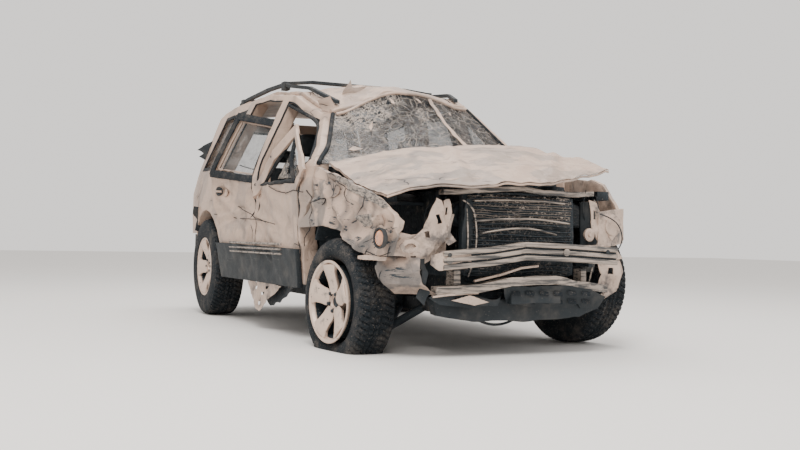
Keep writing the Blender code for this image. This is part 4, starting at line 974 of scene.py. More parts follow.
SIDES = ((-1, "right"), (1, "left"))
SIDE_SECTION = (
    (0.20, 0.820), (0.33, 0.848), (0.50, 0.870), (0.75, 0.885), (0.95, 0.880), (1.06, 0.862), (1.60, 0.665),
    (1.75, 0.600),
)
ROOF_DROP_ALONG = ((-0.33, 0.200), (0.0, 0.075), (0.35, 0.020), (0.8, 0.0))
ROOF_DROP_ACROSS = ((-0.540, 1.0), (-0.515, 0.82), (-0.18, 0.40), (0.10, 0.42), (0.515, 0.52))
PUSH_RIGHT, PUSH_LEFT = 0.12, 0.19
PUSH_SHARE_RIGHT = ((1.03, 0.0), (1.20, 0.60), (1.60, 1.0))
PUSH_SHARE_LEFT = ((1.03, 0.0), (1.20, 1.0), (1.60, 0.78))
PUSH_ALONG = ((-0.33, 1.0), (0.0, 0.25), (0.35, 0.0))
REAR_DOOR_PUSH_FRONT = ((0.60, 0.0, 0.0), (1.06, -0.055, -0.075), (1.57, -0.070, -0.185))
REAR_DOOR_PUSH_REAR = ((0.60, 0.0, 0.0), (1.06, 0.090, 0.0), (1.57, 0.125, -0.030))


def between(table, value):
    if value <= table[0][0]:
        return table[0][1]
    for (a, low), (b, high) in zip(table, table[1:]):
        if value <= b:
            return low + (high - low) * (value - a) / (b - a)
    return table[-1][1]


def half_width(y, z):
    nose = max(0.0, -1.0 - y) / 1.1
    tail = max(0.0, y - 1.3) / 0.8
    return between(SIDE_SECTION, z) * (1 - 0.09 * nose * nose - 0.10 * tail * tail)


def crushed(x, y, z):
    share = min(1.0, max(0.0, (z - 1.02) / 0.58))
    drop = between(ROOF_DROP_ALONG, y) * between(ROOF_DROP_ACROSS, x) * share
    push = PUSH_RIGHT * between(PUSH_SHARE_RIGHT, z) if x < 0 else -PUSH_LEFT * between(PUSH_SHARE_LEFT, z)
    push *= between(PUSH_ALONG, y) * min(1.0, abs(x) / 0.5)
    return Vector((x + push, y, z - drop))


def on_side(side, y, z, out=0.0):
    """A point on the body's side, dents included. side is -1 on the right."""
    flat = crushed(side * (half_width(y, z) + out), y, z)
    return flat + crash(flat)


def at_side(side, out):
    """The side's place for (y, z), for a sheet laid at one distance from it."""
    return lambda y, z: on_side(side, y, z, out)


def on_rear_door(y, z, out=0.0):
    """A point on the pulled rear right door."""
    s = min(1.0, max(0.0, (y - 0.18) / 0.80))
    push = []
    for column in (1, 2):
        front = between([(row[0], row[column]) for row in REAR_DOOR_PUSH_FRONT], z)
        rear = between([(row[0], row[column]) for row in REAR_DOOR_PUSH_REAR], z)
        push.append(front + (rear - front) * s)
    flat = Vector((-half_width(y, z) - out - push[0], y, z + push[1]))
    return flat + crash(flat)


# The torn nose

def mashed_fins():
    """Radiator fins: close rows, crushed flat in patches and dusted pale, painted lighter towards the top,
    with painted highlights along the upper rows.
    """
    made = Finish("mashed_fins", "dark_steel", {"Metallic": 0.35})
    bent = warped(made, 6, 0.018)
    rows = made.add(
        "ShaderNodeTexWave", {"bands_direction": "Z"},
        {"Vector": bent, "Scale": 26.0, "Distortion": 1.2, "Detail": 2},
    )
    combs = made.add(
        "ShaderNodeTexWave", {"bands_direction": "X"},
        {"Vector": bent, "Scale": 70.0, "Distortion": 2.5, "Detail": 3},
    )
    rows, combs = (Number(made, found.outputs["Fac"]) for found in (rows, combs))
    patch = made.noise(10, 5, 0.62, bent)
    pale = made.noise(75, 4, 0.72).step(0.50, 0.60) * patch.step(0.42, 0.56)
    # The fins are painted lighter towards the top, and shine adds painted highlights along the upper rows to
    # the pale dust.
    upper = made.height().step(0.67, 0.74)
    shine = (pale * (0.25 + 0.75 * upper)).highest(rows.step(0.62, 0.9) * 0.5 * upper)
    made.set(Base_Color=made.mix(shine, DARK_FINS, FIN_DUST_AND_HIGHLIGHT))
    made.set(Roughness=0.45 + patch * 0.3)
    made.relief([(rows, 0.004), (combs, 0.002), (patch, 0.012)])
    return made


def worn_steel():
    """Galvanised bars rubbed grey, with dark grime in their grooves."""
    made = Finish("worn_steel", "bare_metal", {"Metallic": 0.4})
    grime = made.streaks(5, 0.66, (2.5, 30, 75)).step(0.44, 0.60) * 0.85
    drawn = made.streaks(3, 0.7, (5, 90, 90)).step(0.52, 0.66) * 0.6
    made.set(Base_Color=made.mix(grime.highest(drawn), RUBBED_STEEL, STEEL_GRIME))
    made.set(Roughness=0.38 + made.noise(40, 3) * 0.3)
    made.relief([(made.noise(30, 5, 0.6), 0.003)])
    return made


FINS = mashed_fins()
WORN = worn_steel()
# Metres that a pixel covers, near the nose and on the right side
NEAR_PIXEL, FLANK_PIXEL = 0.0066, 0.0058


def wrinkled(piece, amount, size, seed=0.0):
    """Pushes a new sheet about by noise, in every direction."""
    for vertex in piece.data.vertices:
        p = vertex.co
        shifts = [grain(p.x / size + seed + 11 * k, p.y / size, p.z / size) for k in range(3)]
        vertex.co += Vector([amount * shift for shift in shifts])
    return piece


def torn(name, outline, depth, finish=METAL, holes=(), wall=0.004, step=0.012, wrinkle=0.012):
    """A torn sheet that shows in the photograph as the outline. depth is its y, or gives it by pixel."""
    def place(u, v):
        px, py = u / NEAR_PIXEL, -v / NEAR_PIXEL
        return spot(px, py, depth(px, py) if callable(depth) else depth)

    flat = [(px * NEAR_PIXEL, -py * NEAR_PIXEL) for px, py in outline]
    cuts = [[(px * NEAR_PIXEL, -py * NEAR_PIXEL) for px, py in hole] for hole in holes]
    made = sheet(flat, cuts, step, place, wall)
    softened(made, wall * 0.3, 60, 1)
    wrinkled(made, wrinkle, 0.09, len(outline) * 1.7)
    return settle(made, name, finish, 30.0)


def radiator_core():
    """The crushed core between its tanks, with its tubes bent into the light."""
    def place(u, v):
        bow = -0.032 * (1 - (u / 0.32) ** 2)
        fine = 0.006 * ridge((u, v, 0), 0.05, 6.0)
        crush = 0.014 * ridge((u, v, 0), 0.12, 2.0) * ramp(v, 0.66, 0.78) + fine
        return Vector((u, -1.824 + bow - crush + 0.020, v + 0.010 * grain(u * 5, v * 5, 3)))

    core = sheet([(-0.316, 0.432), (0.310, 0.432), (0.310, 0.832), (-0.316, 0.836)], [], 0.009, place, 0.036)
    settle(core, "radiator_core", FINS, 30.0, replaces=("radiator",))
    tubes = []
    for k in range(15):
        z = 0.445 + 0.0268 * k
        path = [
            (x, -1.848 - 0.032 * (1 - (x / 0.32) ** 2) - 0.010 * grain(x * 6, k * 2.3, 1),
             z + 0.012 * grain(x * 4 + k, k * 1.7, 0))
            for x in [-0.310 + 0.031 * i for i in range(21)]
        ]
        tubes.append(tube(path, 0.0030, sides=2))
    settle(tubes, "condenser_tubes", STEEL, 50.0)
    arcs = []
    for z, sag, x_low, x_high in (
        (0.700, 0.020, -0.30, 0.28), (0.640, 0.030, -0.25, 0.20), (0.806, 0.010, -0.30, 0.25),
    ):
        path = [(
            x_low + (x_high - x_low) * k / 10, -1.893 + 0.03 * abs(k - 5) / 5,
            z + sag * math.sin(math.pi * k / 10),
        ) for k in range(11)]
        arcs.append(tube(path, 0.0055, sides=3))
    settle(arcs, "condenser_pipes", WORN, 50.0)
    tanks = [
        bar([
            (-0.330, -1.800, 0.425), (-0.334, -1.806, 0.63), (-0.328, -1.800, 0.840),
        ], (0.032, 0.040), 0.004, "Z"),
        bar([
            (0.322, -1.796, 0.425), (0.326, -1.800, 0.63), (0.320, -1.794, 0.838),
        ], (0.032, 0.040), 0.004, "Z"),
        bar([(-0.33, -1.80, 0.845), (0.0, -1.832, 0.850), (0.32, -1.796, 0.845)], (0.030, 0.014), 0.003),
        bar([(-0.33, -1.80, 0.428), (0.0, -1.832, 0.432), (0.32, -1.796, 0.428)], (0.036, 0.018), 0.003),
    ]
    settle(tanks, "radiator_tanks", STEEL, 35.0)


def ridge(p, size, seed):
    return 1 - 2 * abs(grain(p[0] / size + seed, p[1] / size, p[2] / size))


BEAM_PATH = [
    (-0.53, -1.955, 0.500), (-0.25, -1.965, 0.525), (-0.045, -1.935, 0.553), (0.25, -1.935, 0.545),
    (0.56, -1.895, 0.530),
]


def lifted(path, dy, dz):
    return [(x, y + dy, z + dz) for x, y, z in path]


def bumper_beam():
    """The kinked beam: three rolled ribs with dark grooves between them, on two crush cans; the ribs' pale
    finish is partly a painted highlight and the dark web in the grooves is painted shade.
    """
    ribs = [
        bar(lifted(BEAM_PATH, -0.004, dz), (0.048, height), 0.005)
        for dz, height in ((0.034, 0.026), (0.0, 0.022), (-0.034, 0.026))
    ]
    for x, y, z in ((-0.50, -1.982, 0.502), (0.20, -1.963, 0.548)):
        ribs.append(drum((x, y - 0.004, z), (x, y + 0.004, z), 0.020, 0.018, 20))
    settle(ribs, "beam_ribs", WORN, 35.0, replaces=("bumper_beam",))
    # The dark web behind the ribs is painted shade in the grooves; the ribs' pale finish is partly a painted
    # highlight.
    web = bar(lifted(BEAM_PATH, 0.008, 0), (0.040, 0.088), 0.002)
    cans = [
        bar([
            (-0.410, -1.936, 0.496), (-0.410, -1.87, 0.496), (-0.410, -1.801, 0.496),
        ], (0.056, 0.066), 0.005, "Y"),
        bar([
            (0.402, -1.905, 0.501), (0.402, -1.83, 0.501), (0.402, -1.756, 0.501),
        ], (0.042, 0.058), 0.005, "Y"),
    ]
    settle([web, *cans], "beam_web", STEEL, 35.0)
    # Dark plugs in the beam's two holes, painted shade for the holes.
    holes = []
    for px, py, y, out, radius in ((607, 252, -1.925, 0.010, 0.012), (450, 255, -1.984, 0.003, 0.011)):
        middle = spot(px, py, y)
        ends = middle + Vector((0, -out, 0)), middle + Vector((0, 0.012, 0))
        holes.append(drum(*ends, radius, radius - 0.001, 18))
    settle(holes, "beam_holes", PLASTIC, 35.0)


def nose_bars():
    for node in ("upper_tie_bar", "lower_crossmember", "lamp_bracket_right", "lamp_bracket_left"):
        made = shape_of(node, 0.003, 0.018)
        for vertex in made.data.vertices:
            p = vertex.co - FROM_WHEELBASE
            vertex.co += Vector((0, 0.007 * ridge(p, 0.10, 4.0) - 0.007, 0.005 * noise.noise(p * 9)))
        settle(
            made, node + "_worn", METAL if "bracket" in node else WORN, 30.0, replaces=(node,), drawn=False,
        )
    strips = [
        bar([
            spot(474, 281, -1.90), spot(500, 275, -1.91), spot(521, 268, -1.91), spot(538, 266, -1.90),
        ], (0.020, 0.012), 0.002),
        bar([
            spot(452, 214, -1.84), spot(449, 225, -1.86), spot(447, 238, -1.87),
        ], (0.022, 0.016), 0.002, "Z"),
        bar([spot(432, 297, -1.90), spot(448, 295, -1.91), spot(478, 293, -1.90)], (0.018, 0.010), 0.002),
    ]
    settle(strips, "nose_strips", METAL, 35.0)


def nose_tears():
    """The torn sheets and scraps on both sides of the nose and under the beam."""
    torn(
        "lamp_nest_torn",
        [
            (386, 247), (396, 243), (404, 236), (412, 237), (424, 230), (431, 213), (437, 197), (442, 199),
            (444, 215), (447, 233), (441, 246), (434, 256), (425, 263), (419, 273), (411, 266), (404, 258),
            (392, 256),
        ],
        lambda px, py: -1.90 + (px - 386) * 0.0003,
        holes=[
            [(424, 233), (429, 233), (429, 239), (424, 239)],
            [(411, 255), (417, 255), (417, 261), (411, 261)],
            [(403, 242), (412, 241), (416, 246), (408, 251), (402, 248)],
            [(436, 215), (440, 214), (440, 224), (435, 226)],
        ],
        wrinkle=0.022,
    )
    torn(
        "lamp_eye", [(399, 246), (405, 240), (413, 239), (420, 243), (417, 250), (409, 253), (402, 251)],
        -1.935, holes=[[(404, 246), (408, 243), (414, 243), (416, 246), (411, 249), (406, 249)]], wall=0.006,
        step=0.010, wrinkle=0.006,
    )
    torn(
        "inner_rag",
        [(444, 203), (450, 201), (453, 214), (451, 228), (455, 240), (447, 244), (442, 232), (446, 220)],
        -1.87, holes=[[(447, 210), (449, 210), (449, 216), (447, 216)]], wrinkle=0.02,
    )
    torn("under_beam_rag", [
        (432, 256), (446, 252), (470, 253), (472, 262), (455, 264), (468, 269), (440, 270), (431, 265),
    ], -1.972)
    torn(
        "dangling_strip",
        [
            (415, 262), (424, 258), (428, 272), (425, 284), (430, 296), (424, 306), (417, 300), (421, 288),
            (415, 276),
        ],
        -1.90, PLASTIC, holes=[[(420, 268), (423, 268), (423, 274), (420, 274)]], wrinkle=0.022,
    )
    torn(
        "lamp_side_strip", [(358, 256), (366, 255), (388, 257), (386, 261), (366, 260), (358, 259)], -1.86,
        step=0.01, wrinkle=0.006,
    )
    torn(
        "tray_rag_right",
        [(427, 297), (447, 292), (468, 296), (492, 300), (500, 296), (497, 305), (470, 308), (440, 305)],
        -1.90, PLASTIC, holes=[[(455, 298), (462, 299), (461, 303), (455, 302)]], step=0.014, wrinkle=0.014,
    )
    torn(
        "tray_chip", [(452, 300), (470, 296), (488, 301), (474, 305)], -1.925, wall=0.003, step=0.01,
        wrinkle=0.01,
    )
    torn(
        "left_rag",
        [
            (588, 200), (596, 204), (602, 214), (612, 222), (618, 232), (612, 240), (603, 232), (597, 240),
            (590, 228),
        ],
        -1.80,
        holes=[
            [(600, 218), (606, 221), (608, 228), (602, 226)],
            [(592, 210), (595, 212), (595, 219), (592, 218)],
        ],
        wrinkle=0.02,
    )
    torn(
        "left_lower_rag",
        [(597, 262), (608, 256), (620, 262), (622, 276), (615, 292), (604, 300), (598, 286), (603, 274)],
        -1.785, holes=[[(608, 268), (613, 268), (613, 275), (608, 275)]], wrinkle=0.02,
    )
    torn(
        "left_beam_rag", [(586, 246), (600, 244), (616, 248), (622, 258), (606, 260), (590, 256)], -1.90,
        holes=[[(602, 249), (608, 249), (608, 254), (602, 254)]],
    )
    torn("fender_shard_right", [
        (396, 212), (404, 222), (402, 230), (396, 236), (388, 231), (384, 226), (376, 224), (370, 217),
    ], -1.88, wall=0.003, wrinkle=0.018)


def tray():
    """The torn undertray with its slots, painted as dark patches of shade, and the strap that hangs below
    it.
    """
    dressed(
        "undertray", PLASTIC, 0.004, 0.03,
        lambda p: Vector((0, 0.010 * noise.noise(p * 8), 0.008 * noise.noise(p * 9))),
    )
    torn(
        "slotted_tray",
        [
            (503, 284), (530, 287), (562, 285), (590, 289), (605, 297), (598, 308), (583, 314), (566, 318),
            (545, 310), (528, 306), (506, 302),
        ],
        lambda px, py: -1.93 + (py - 284) * 0.0030, PLASTIC,
        holes=[[(570, 306), (578, 304), (580, 309), (573, 311)]], step=0.014, wrinkle=0.006,
    )
    # The slots are dark rubber patches laid on the tray, painted shade for the openings.
    slots = []
    for u in range(512, 596, 14):
        for v in (291, 299):
            corners = [(u, v), (u + 8, v + 1), (u + 7, v + 5), (u - 1, v + 4)]
            places = [spot(px, py, -1.938 + (py - 284) * 0.0030) for px, py in corners]
            depth = places[0].y
            outline = [(p.x, p.z) for p in places]
            slots.append(sheet(outline, [], 0.02, lambda x, z: Vector((x, depth, z)), 0.002))
    settle(slots, "tray_slots", RUBBER)
    strap = spots(((468, 309), (474, 318), (486, 324), (500, 325), (514, 320), (524, 312)), -1.80)
    settle(tube(strap, 0.007, sides=2), "hanging_strap", PLASTIC, 50.0)


def engine_bay():
    """Engine, hoses, wires and horn, seen under the raised hood, and the air guides' pale edges."""
    dressed(
        "engine_block", STEEL, 0.006, 0.04, lambda p: Vector((0, 0, 0.010 * ridge(p, 0.09, 3.0) - 0.010)),
    )
    low, high = box_of("engine_block")
    top = high.z
    middle = (low + high) / 2
    lumps = [
        block(
            (middle.x - 0.20, middle.y - 0.10, top - 0.01), (middle.x + 0.16, middle.y + 0.10, top + 0.045),
            0.014,
        ),
        drum(
            (middle.x - 0.28, low.y - 0.01, top - 0.12), (middle.x - 0.28, low.y - 0.075, top - 0.12), 0.070,
            0.066, 28, 0.006,
        ),
        drum(
            (middle.x + 0.10, low.y - 0.01, top - 0.22), (middle.x + 0.10, low.y - 0.060, top - 0.22), 0.055,
            0.055, 28, 0.006,
        ),
        block(
            (middle.x - 0.12, low.y - 0.040, low.z + 0.08), (middle.x + 0.06, low.y + 0.01, low.z + 0.24),
            0.016,
        ),
    ]
    for k in range(6):
        x = middle.x - 0.16 + 0.055 * k
        lumps.append(tube([
            (x, middle.y - 0.09, top + 0.04), (x, middle.y - 0.15, top + 0.02),
            (x - 0.01, low.y - 0.015, top - 0.06),
        ], 0.016, sides=4))
    settle(lumps, "engine_dress", STEEL)
    hoses = [
        tube([
            (-0.24, -1.775, 0.80), (-0.26, -1.70, 0.86), (-0.16, -1.60, 0.84), (-0.10, -1.50, 0.80),
        ], 0.021, sides=4),
        tube([(0.24, -1.765, 0.52), (0.28, -1.68, 0.50), (0.20, -1.58, 0.52)], 0.019, sides=4),
        tube([
            (-0.40, -1.55, 0.74), (-0.28, -1.66, 0.80), (-0.05, -1.70, 0.78), (0.22, -1.68, 0.82),
            (0.38, -1.60, 0.80),
        ], 0.008),
        tube([(-0.42, -1.45, 0.80), (-0.20, -1.52, 0.88), (0.10, -1.50, 0.90), (0.36, -1.45, 0.86)], 0.010),
    ]
    settle(hoses, "hoses", RUBBER, 50.0)
    wires = []
    for k, (px, py) in enumerate(((430, 204), (446, 196), (462, 199), (560, 196), (586, 190), (596, 196))):
        start = spot(px, py, -1.80)
        swing = (
            (0, 0, 0), (0.03 * (k % 3 - 1), 0.02, -0.05), (0.05 * (k % 2) - 0.02, 0.0, -0.12),
            (0.02, 0.03, -0.18),
        )
        wires.append(tube([start + Vector(shift) for shift in swing], 0.0028, sides=2))
    lamp_wire = spots(((600, 214), (612, 218), (621, 228), (623, 244), (616, 252)), -1.83)
    wires.append(tube(lamp_wire, 0.0035, sides=2))
    settle(wires, "wires", PLASTIC, 50.0)
    horn = spun([
        (-0.014, 0.0), (-0.014, 0.030), (-0.006, 0.036), (0.006, 0.036), (0.010, 0.026), (0.006, 0.012),
        (0.012, 0.010), (0.012, 0.0),
    ], 36)
    horn.data.transform(
        Matrix.Translation(spot(589, 235, -1.82)) @ Matrix.Rotation(math.radians(-80), 4, "Z")
    )
    settle(horn, "horn", METAL)
    guides = []
    for points, y in (
        (((463, 200), (472, 205), (476, 220), (477, 240), (474, 262), (468, 277)), -1.872),
        (((594, 200), (598, 215), (598, 240), (594, 262), (588, 285)), -1.80),
        (((466, 203), (468, 225), (468, 250), (465, 272)), -1.868),
    ):
        guides.append(tube(spots(points, y), 0.0045, sides=2))
    settle(guides, "guide_edges", WORN, 50.0)


def lamp_right():
    """The side lamp left in the right fender: an amber lens in a black ring."""
    low, high = box_of("headlamp_right")
    middle = (low + high) / 2
    ring = spun([
        (-0.014, 0.0), (-0.014, 0.047), (0.006, 0.0525), (0.012, 0.050), (0.010, 0.043), (-0.006, 0.040),
        (-0.008, 0.0),
    ], 48)
    lens = spun(
        [(-0.004, 0.0), (-0.004, 0.038), (0.004, 0.0395), (0.011, 0.034), (0.014, 0.020), (0.015, 0.0)], 48,
    )
    turn = Matrix.Translation(middle + Vector((0.0005, 0, 0))) @ Matrix.Rotation(math.radians(186.5), 4, "Z")
    for piece in (ring, lens):
        piece.data.transform(turn)
    settle(ring, "lamp_ring", PLASTIC, replaces=("headlamp_right",))
    settle(lens, "lamp_lens", AMBER)


def hood_skin():
    """The hood: one sheet through the drawn net, folded over at its edges, with its frame below."""
    rows, columns = len(HOOD_NET), len(HOOD_NET[0])

    def along(values, t):
        k = min(len(values) - 2, int(t))
        f = t - k
        a, b = values[k], values[k + 1]
        before = values[k - 1] if k else a * 2 - b
        after = values[k + 2] if k + 2 < len(values) else b * 2 - a
        square = (2 * before - 5 * a + 4 * b - after) * f ** 2
        cube = (3 * a - before - 3 * b + after) * f ** 3
        curved = 0.5 * (2 * a + (b - before) * f + square + cube)
        return curved.lerp(a.lerp(b, f), 0.35)

    def place(u, v):
        lines = [along([Vector(p) for p in row], u * (columns - 1)) for row in HOOD_NET]
        p = along(lines, v * (rows - 1))
        jag = 0.010 * grain(p.x * 14, 2.0, 5.0) * ramp(v, 0.90, 1.0)
        pull = crash(p)
        return p + Vector((0, 0, min(0.0, pull.z))) + Vector((0, abs(jag), jag - abs(jag)))

    skin = sheet([(0, 0), (1, 0), (1, 1), (0, 1)], [], 0.0125, place, 0.004)
    lip = [place(min(0.999, u / 40), 0.9999) + Vector((0, 0.006, -0.010)) for u in range(41)]
    edges = [tube(lip, 0.0060, sides=2)]
    for u in (0.0, 0.9999):
        edges.append(tube([
            place(u, v / 30) + Vector((0.006 if u == 0 else -0.006, 0, -0.009)) for v in range(30)
        ], 0.0055, sides=2))
    settle([skin, *edges], "hood_sheet", PAINT, 30.0, body="hood", replaces=("hood",))
    ribs = []
    for (u0, v0), (u1, v1) in HOOD_RIBS:
        path = [place(u0 + (u1 - u0) * k / 12, v0 + (v1 - v0) * k / 12) for k in range(13)]
        ribs.append(tube([p + Vector((0, 0, -0.012)) for p in path], 0.009, sides=2))
    settle(ribs, "hood_frame", METAL, body="hood")


# The frame's ribs, from (u, v) to (u, v) on the hood
HOOD_RIBS = (
    ((0.06, 0.10), (0.94, 0.10)), ((0.06, 0.90), (0.94, 0.90)), ((0.08, 0.10), (0.30, 0.90)),
    ((0.92, 0.10), (0.70, 0.90)), ((0.50, 0.10), (0.30, 0.90)), ((0.50, 0.10), (0.70, 0.90)),
)
# Points on the hood, right to left, row by row from the windshield to the nose
HOOD_NET = (
    (
        (-0.770, -1.010, 1.036), (-0.440, -1.060, 1.112), (-0.085, -1.060, 1.168), (0.260, -1.000, 1.195),
        (0.600, -0.830, 1.214),
    ),
    (
        (-0.775, -1.230, 0.975), (-0.450, -1.300, 1.060), (-0.090, -1.330, 1.110), (0.270, -1.290, 1.135),
        (0.612, -1.150, 1.165),
    ),
    (
        (-0.785, -1.520, 0.885), (-0.480, -1.600, 0.985), (-0.090, -1.640, 1.030), (0.290, -1.600, 1.060),
        (0.622, -1.470, 1.105),
    ),
    (
        (-0.790, -1.870, 0.828), (-0.550, -1.930, 0.888), (-0.100, -1.990, 0.915), (0.300, -1.930, 0.965),
        (0.590, -1.790, 1.015),
    ),
)


# Doors, windows and trim

FRONT_APERTURE = [
    (-0.790, 0.43), (-0.805, 1.00), (-0.840, 1.06), (-0.330, 1.530), (0.07, 1.575), (0.09, 0.43),
]
REAR_APERTURE = [
    (0.19, 0.43), (0.17, 1.58), (0.74, 1.57), (0.98, 1.08), (1.00, 0.95), (0.945, 0.80), (0.86, 0.62),
    (0.81, 0.43),
]
QUARTER_APERTURE = [(1.10, 1.10), (0.89, 1.54), (1.45, 1.525), (1.66, 1.12)]
FRONT_WINDOW = [(-0.740, 1.085), (-0.300, 1.485), (0.015, 1.520), (0.025, 1.085)]
REAR_WINDOW = [(0.240, 1.070), (0.225, 1.525), (0.700, 1.518), (0.915, 1.080)]
PULLED_WINDOW = [(0.240, 1.070), (0.225, 1.525), (0.810, 1.520), (0.915, 1.080)]


def grown(outline, distance):
    """The outline moved outwards, or inwards by a negative distance."""
    turn = sum(a[0] * b[1] - b[0] * a[1] for a, b in zip(outline, outline[1:] + outline[:1]))
    sign = -1 if turn > 0 else 1
    result = []
    for before, here, after in zip(outline[-1:] + outline[:-1], outline, outline[1:] + outline[:1]):
        a = Vector((here[0] - before[0], here[1] - before[1])).normalized()
        b = Vector((after[0] - here[0], after[1] - here[1])).normalized()
        normal_a, normal_b = Vector((-a.y, a.x)) * sign, Vector((-b.y, b.x)) * sign
        middle = (normal_a + normal_b).normalized()
        reach = distance / max(0.45, middle.dot(normal_a))
        result.append((here[0] + middle.x * reach, here[1] + middle.y * reach))
    return result


def border(name, outline, outer, inner, place, body, finish, wall=0.007, step=0.03):
    """A band round a window: from outer beyond its edge to inner within it."""
    band = sheet(grown(outline, outer), [grown(outline, -inner)], step, place, wall)
    softened(band, 0.002, 50)
    return settle(band, name, finish, body=body)


def seam(name, outline, place, body, closed=True):
    """The dark rubber in the gap round a door."""
    line = divided(outline, 0.05)
    return settle(tube(
        [place(*p) for p in line], 0.0062, closed, smooth=False, sides=1,
    ), name, RUBBER, 50.0, body=body)


def window_seals():
    border(
        "seal_rear_door_right", PULLED_WINDOW, 0.044, 0.014, lambda y, z: on_rear_door(y, z, 0.001), "body",
        RUBBER, 0.009,
    )
    border(
        "seal_rear_door_right_inner", PULLED_WINDOW, -0.018, 0.030, lambda y, z: on_rear_door(y, z, -0.020),
        "body", PAINT, 0.006,
    )
    for side, word in SIDES:
        border(
            "seal_quarter_" + word, QUARTER_APERTURE, 0.004, 0.022,
            at_side(side, -0.004), "body", RUBBER, 0.008,
        )
    border("seal_front_door_left", FRONT_WINDOW, 0.012, 0.010, at_side(1, 0.001), "front_door_left", RUBBER)
    border("seal_rear_door_left", REAR_WINDOW, 0.012, 0.010, at_side(1, 0.001), "rear_door_left", RUBBER)
    seam("seam_rear_door_right", REAR_APERTURE, at_side(-1, -0.007), "body")
    seam("seam_front_right", FRONT_APERTURE, at_side(-1, -0.007), "body")
    for aperture, word in ((FRONT_APERTURE, "front"), (REAR_APERTURE, "rear")):
        seam("seam_%s_door_left" % word, aperture, at_side(1, -0.012), "body")
    rubber = []
    line = [(-0.835, 1.075), (-0.60, 1.285), (-0.345, 1.515), (-0.10, 1.548), (0.055, 1.560)]
    for out, radius in ((-0.012, 0.013), (-0.034, 0.009)):
        rubber.append(tube([on_side(-1, y, z - 0.010, out) for y, z in line], radius, sides=3))
    settle(rubber, "front_aperture_rubber", RUBBER, 50.0)
    for side, word in SIDES:
        line = []
        for k in range(9):
            z = 1.03 + 0.555 * k / 8
            half = between(SIDE_SECTION, z) - 0.052
            line.append(crushed(side * half, pillar_front(z) - 0.016, z))
        size = 0.014 if side < 0 else 0.009
        settle(tube(line, size, sides=3), "screen_rubber_" + word, RUBBER, 50.0)


# The front pillar's foot and head, and the windshield's, by y and z or by z
PILLAR_FOOT, PILLAR_HEAD = (-0.96, 1.02), (-0.33, 1.600)
SCREEN_FOOT, SCREEN_HEAD = 1.026, 1.592


def pillar_front(z):
    (foot_y, foot_z), (head_y, head_z) = PILLAR_FOOT, PILLAR_HEAD
    return foot_y + (z - foot_z) * (head_y - foot_y) / (head_z - foot_z)


def on_screen(u, v, depth=0.0):
    """A point on the windshield: u from -1 on the right to 1 on the left, v from its foot to its head."""
    z = SCREEN_FOOT + (SCREEN_HEAD - SCREEN_FOOT) * v
    half = between(SIDE_SECTION, z) - 0.060
    bow = 0.075 * (1 - u * u)
    sag = 0.055 * math.sin(math.pi * v) * max(0.0, 1 - ((u + 0.2) / 0.65) ** 2)
    y = pillar_front(z) - 0.0007 - 0.009 * 1.36 - bow + sag + depth * 1.36
    lift = 0.045 * v * (1 - min(1.0, (u * half / 0.515) ** 2))
    return crushed(u * half, y, z) + Vector((0, 0, lift))


SCREEN_SHARDS = (
    # u, v, size, turn
    (-0.80, 0.30, 0.05, 0.2), (-0.62, 0.62, 0.04, 1.0), (-0.30, 0.86, 0.035, 2.0),
    (0.10, 0.90, 0.03, 2.6), (0.55, 0.80, 0.03, 0.7),
)


def screen():
    """The crazed windshield, rippled where it was punched in, with scraps stuck to it and its upper edge."""
    def place(u, v):
        p = on_screen(u, v, 0.004)
        calm = ramp(1 - abs(u), 0.0, 0.12) * ramp(min(v, 1 - v), 0.0, 0.12)
        ripple = 0.020 * abs(grain(p.x * 5.5, p.z * 6.5, 1.0)) + 0.009 * abs(grain(p.x * 14, p.z * 14, 4.0))
        return p + Vector((0, ripple, -ripple * 0.4)) * calm

    pane = sheet([(-1, 0), (1, 0), (1, 1), (-1, 1)], [], 0.022, place, 0.006)
    settle(pane, "screen_pane", CRAZED, 20.0, replaces=("windshield",))
    strip = [
        (0.28, 0.94), (0.34, 0.96), (0.37, 0.70), (0.42, 0.45), (0.50, 0.30), (0.44, 0.27), (0.37, 0.42),
        (0.33, 0.62), (0.30, 0.80),
    ]
    film = sheet(strip, [], 0.03, lambda u, v: on_screen(u, v, -0.010), 0.003)
    settle(wrinkled(film, 0.008, 0.06), "screen_strip", PAINT, 30.0)
    shards = []
    for u, v, size, turn in SCREEN_SHARDS:
        corners = []
        for a, r in ((0, 1.3), (1.9, 0.6), (3.3, 1.1), (4.6, 0.5)):
            corners.append((u + size * r * math.cos(turn + a), v + size * r * 1.3 * math.sin(turn + a)))
        shards.append(sheet(corners, [], 0.03, lambda a, b: on_screen(a, b, -0.012), 0.003))
    settle(wrinkled(merged(shards), 0.01, 0.05), "screen_shards", PAINT, 30.0)
    header = []
    for k in range(17):
        shift = Vector((0, 0.010 * (k % 2), 0.010 * grain(k * 1.3, 0, 0)))
        header.append(on_screen(-0.98 + 1.96 * k / 16, 0.985, -0.006) + shift)
    settle(tube(header, 0.011, sides=2), "screen_header", PAINT)


def side_spot(px, py, x):
    """The point at x that the photograph shows at a pixel."""
    ray = ray_of(px, py)
    return EYE + ray * ((x - EYE.x) / ray.x)


def oval(y, z, long_half, high_half, place, rise, sides=28):
    """A shallow dished oval on a side panel."""
    turns = [math.tau * k / sides for k in range(sides)]
    outline = [(y + long_half * math.cos(turn), z + high_half * math.sin(turn)) for turn in turns]

    def dished(a, b):
        reach = math.hypot((a - y) / long_half, (b - z) / high_half)
        return place(a, b, rise * ramp(reach, 0.55, 1.0) - 0.004)

    return sheet(outline, [], 0.010, dished, 0.004)


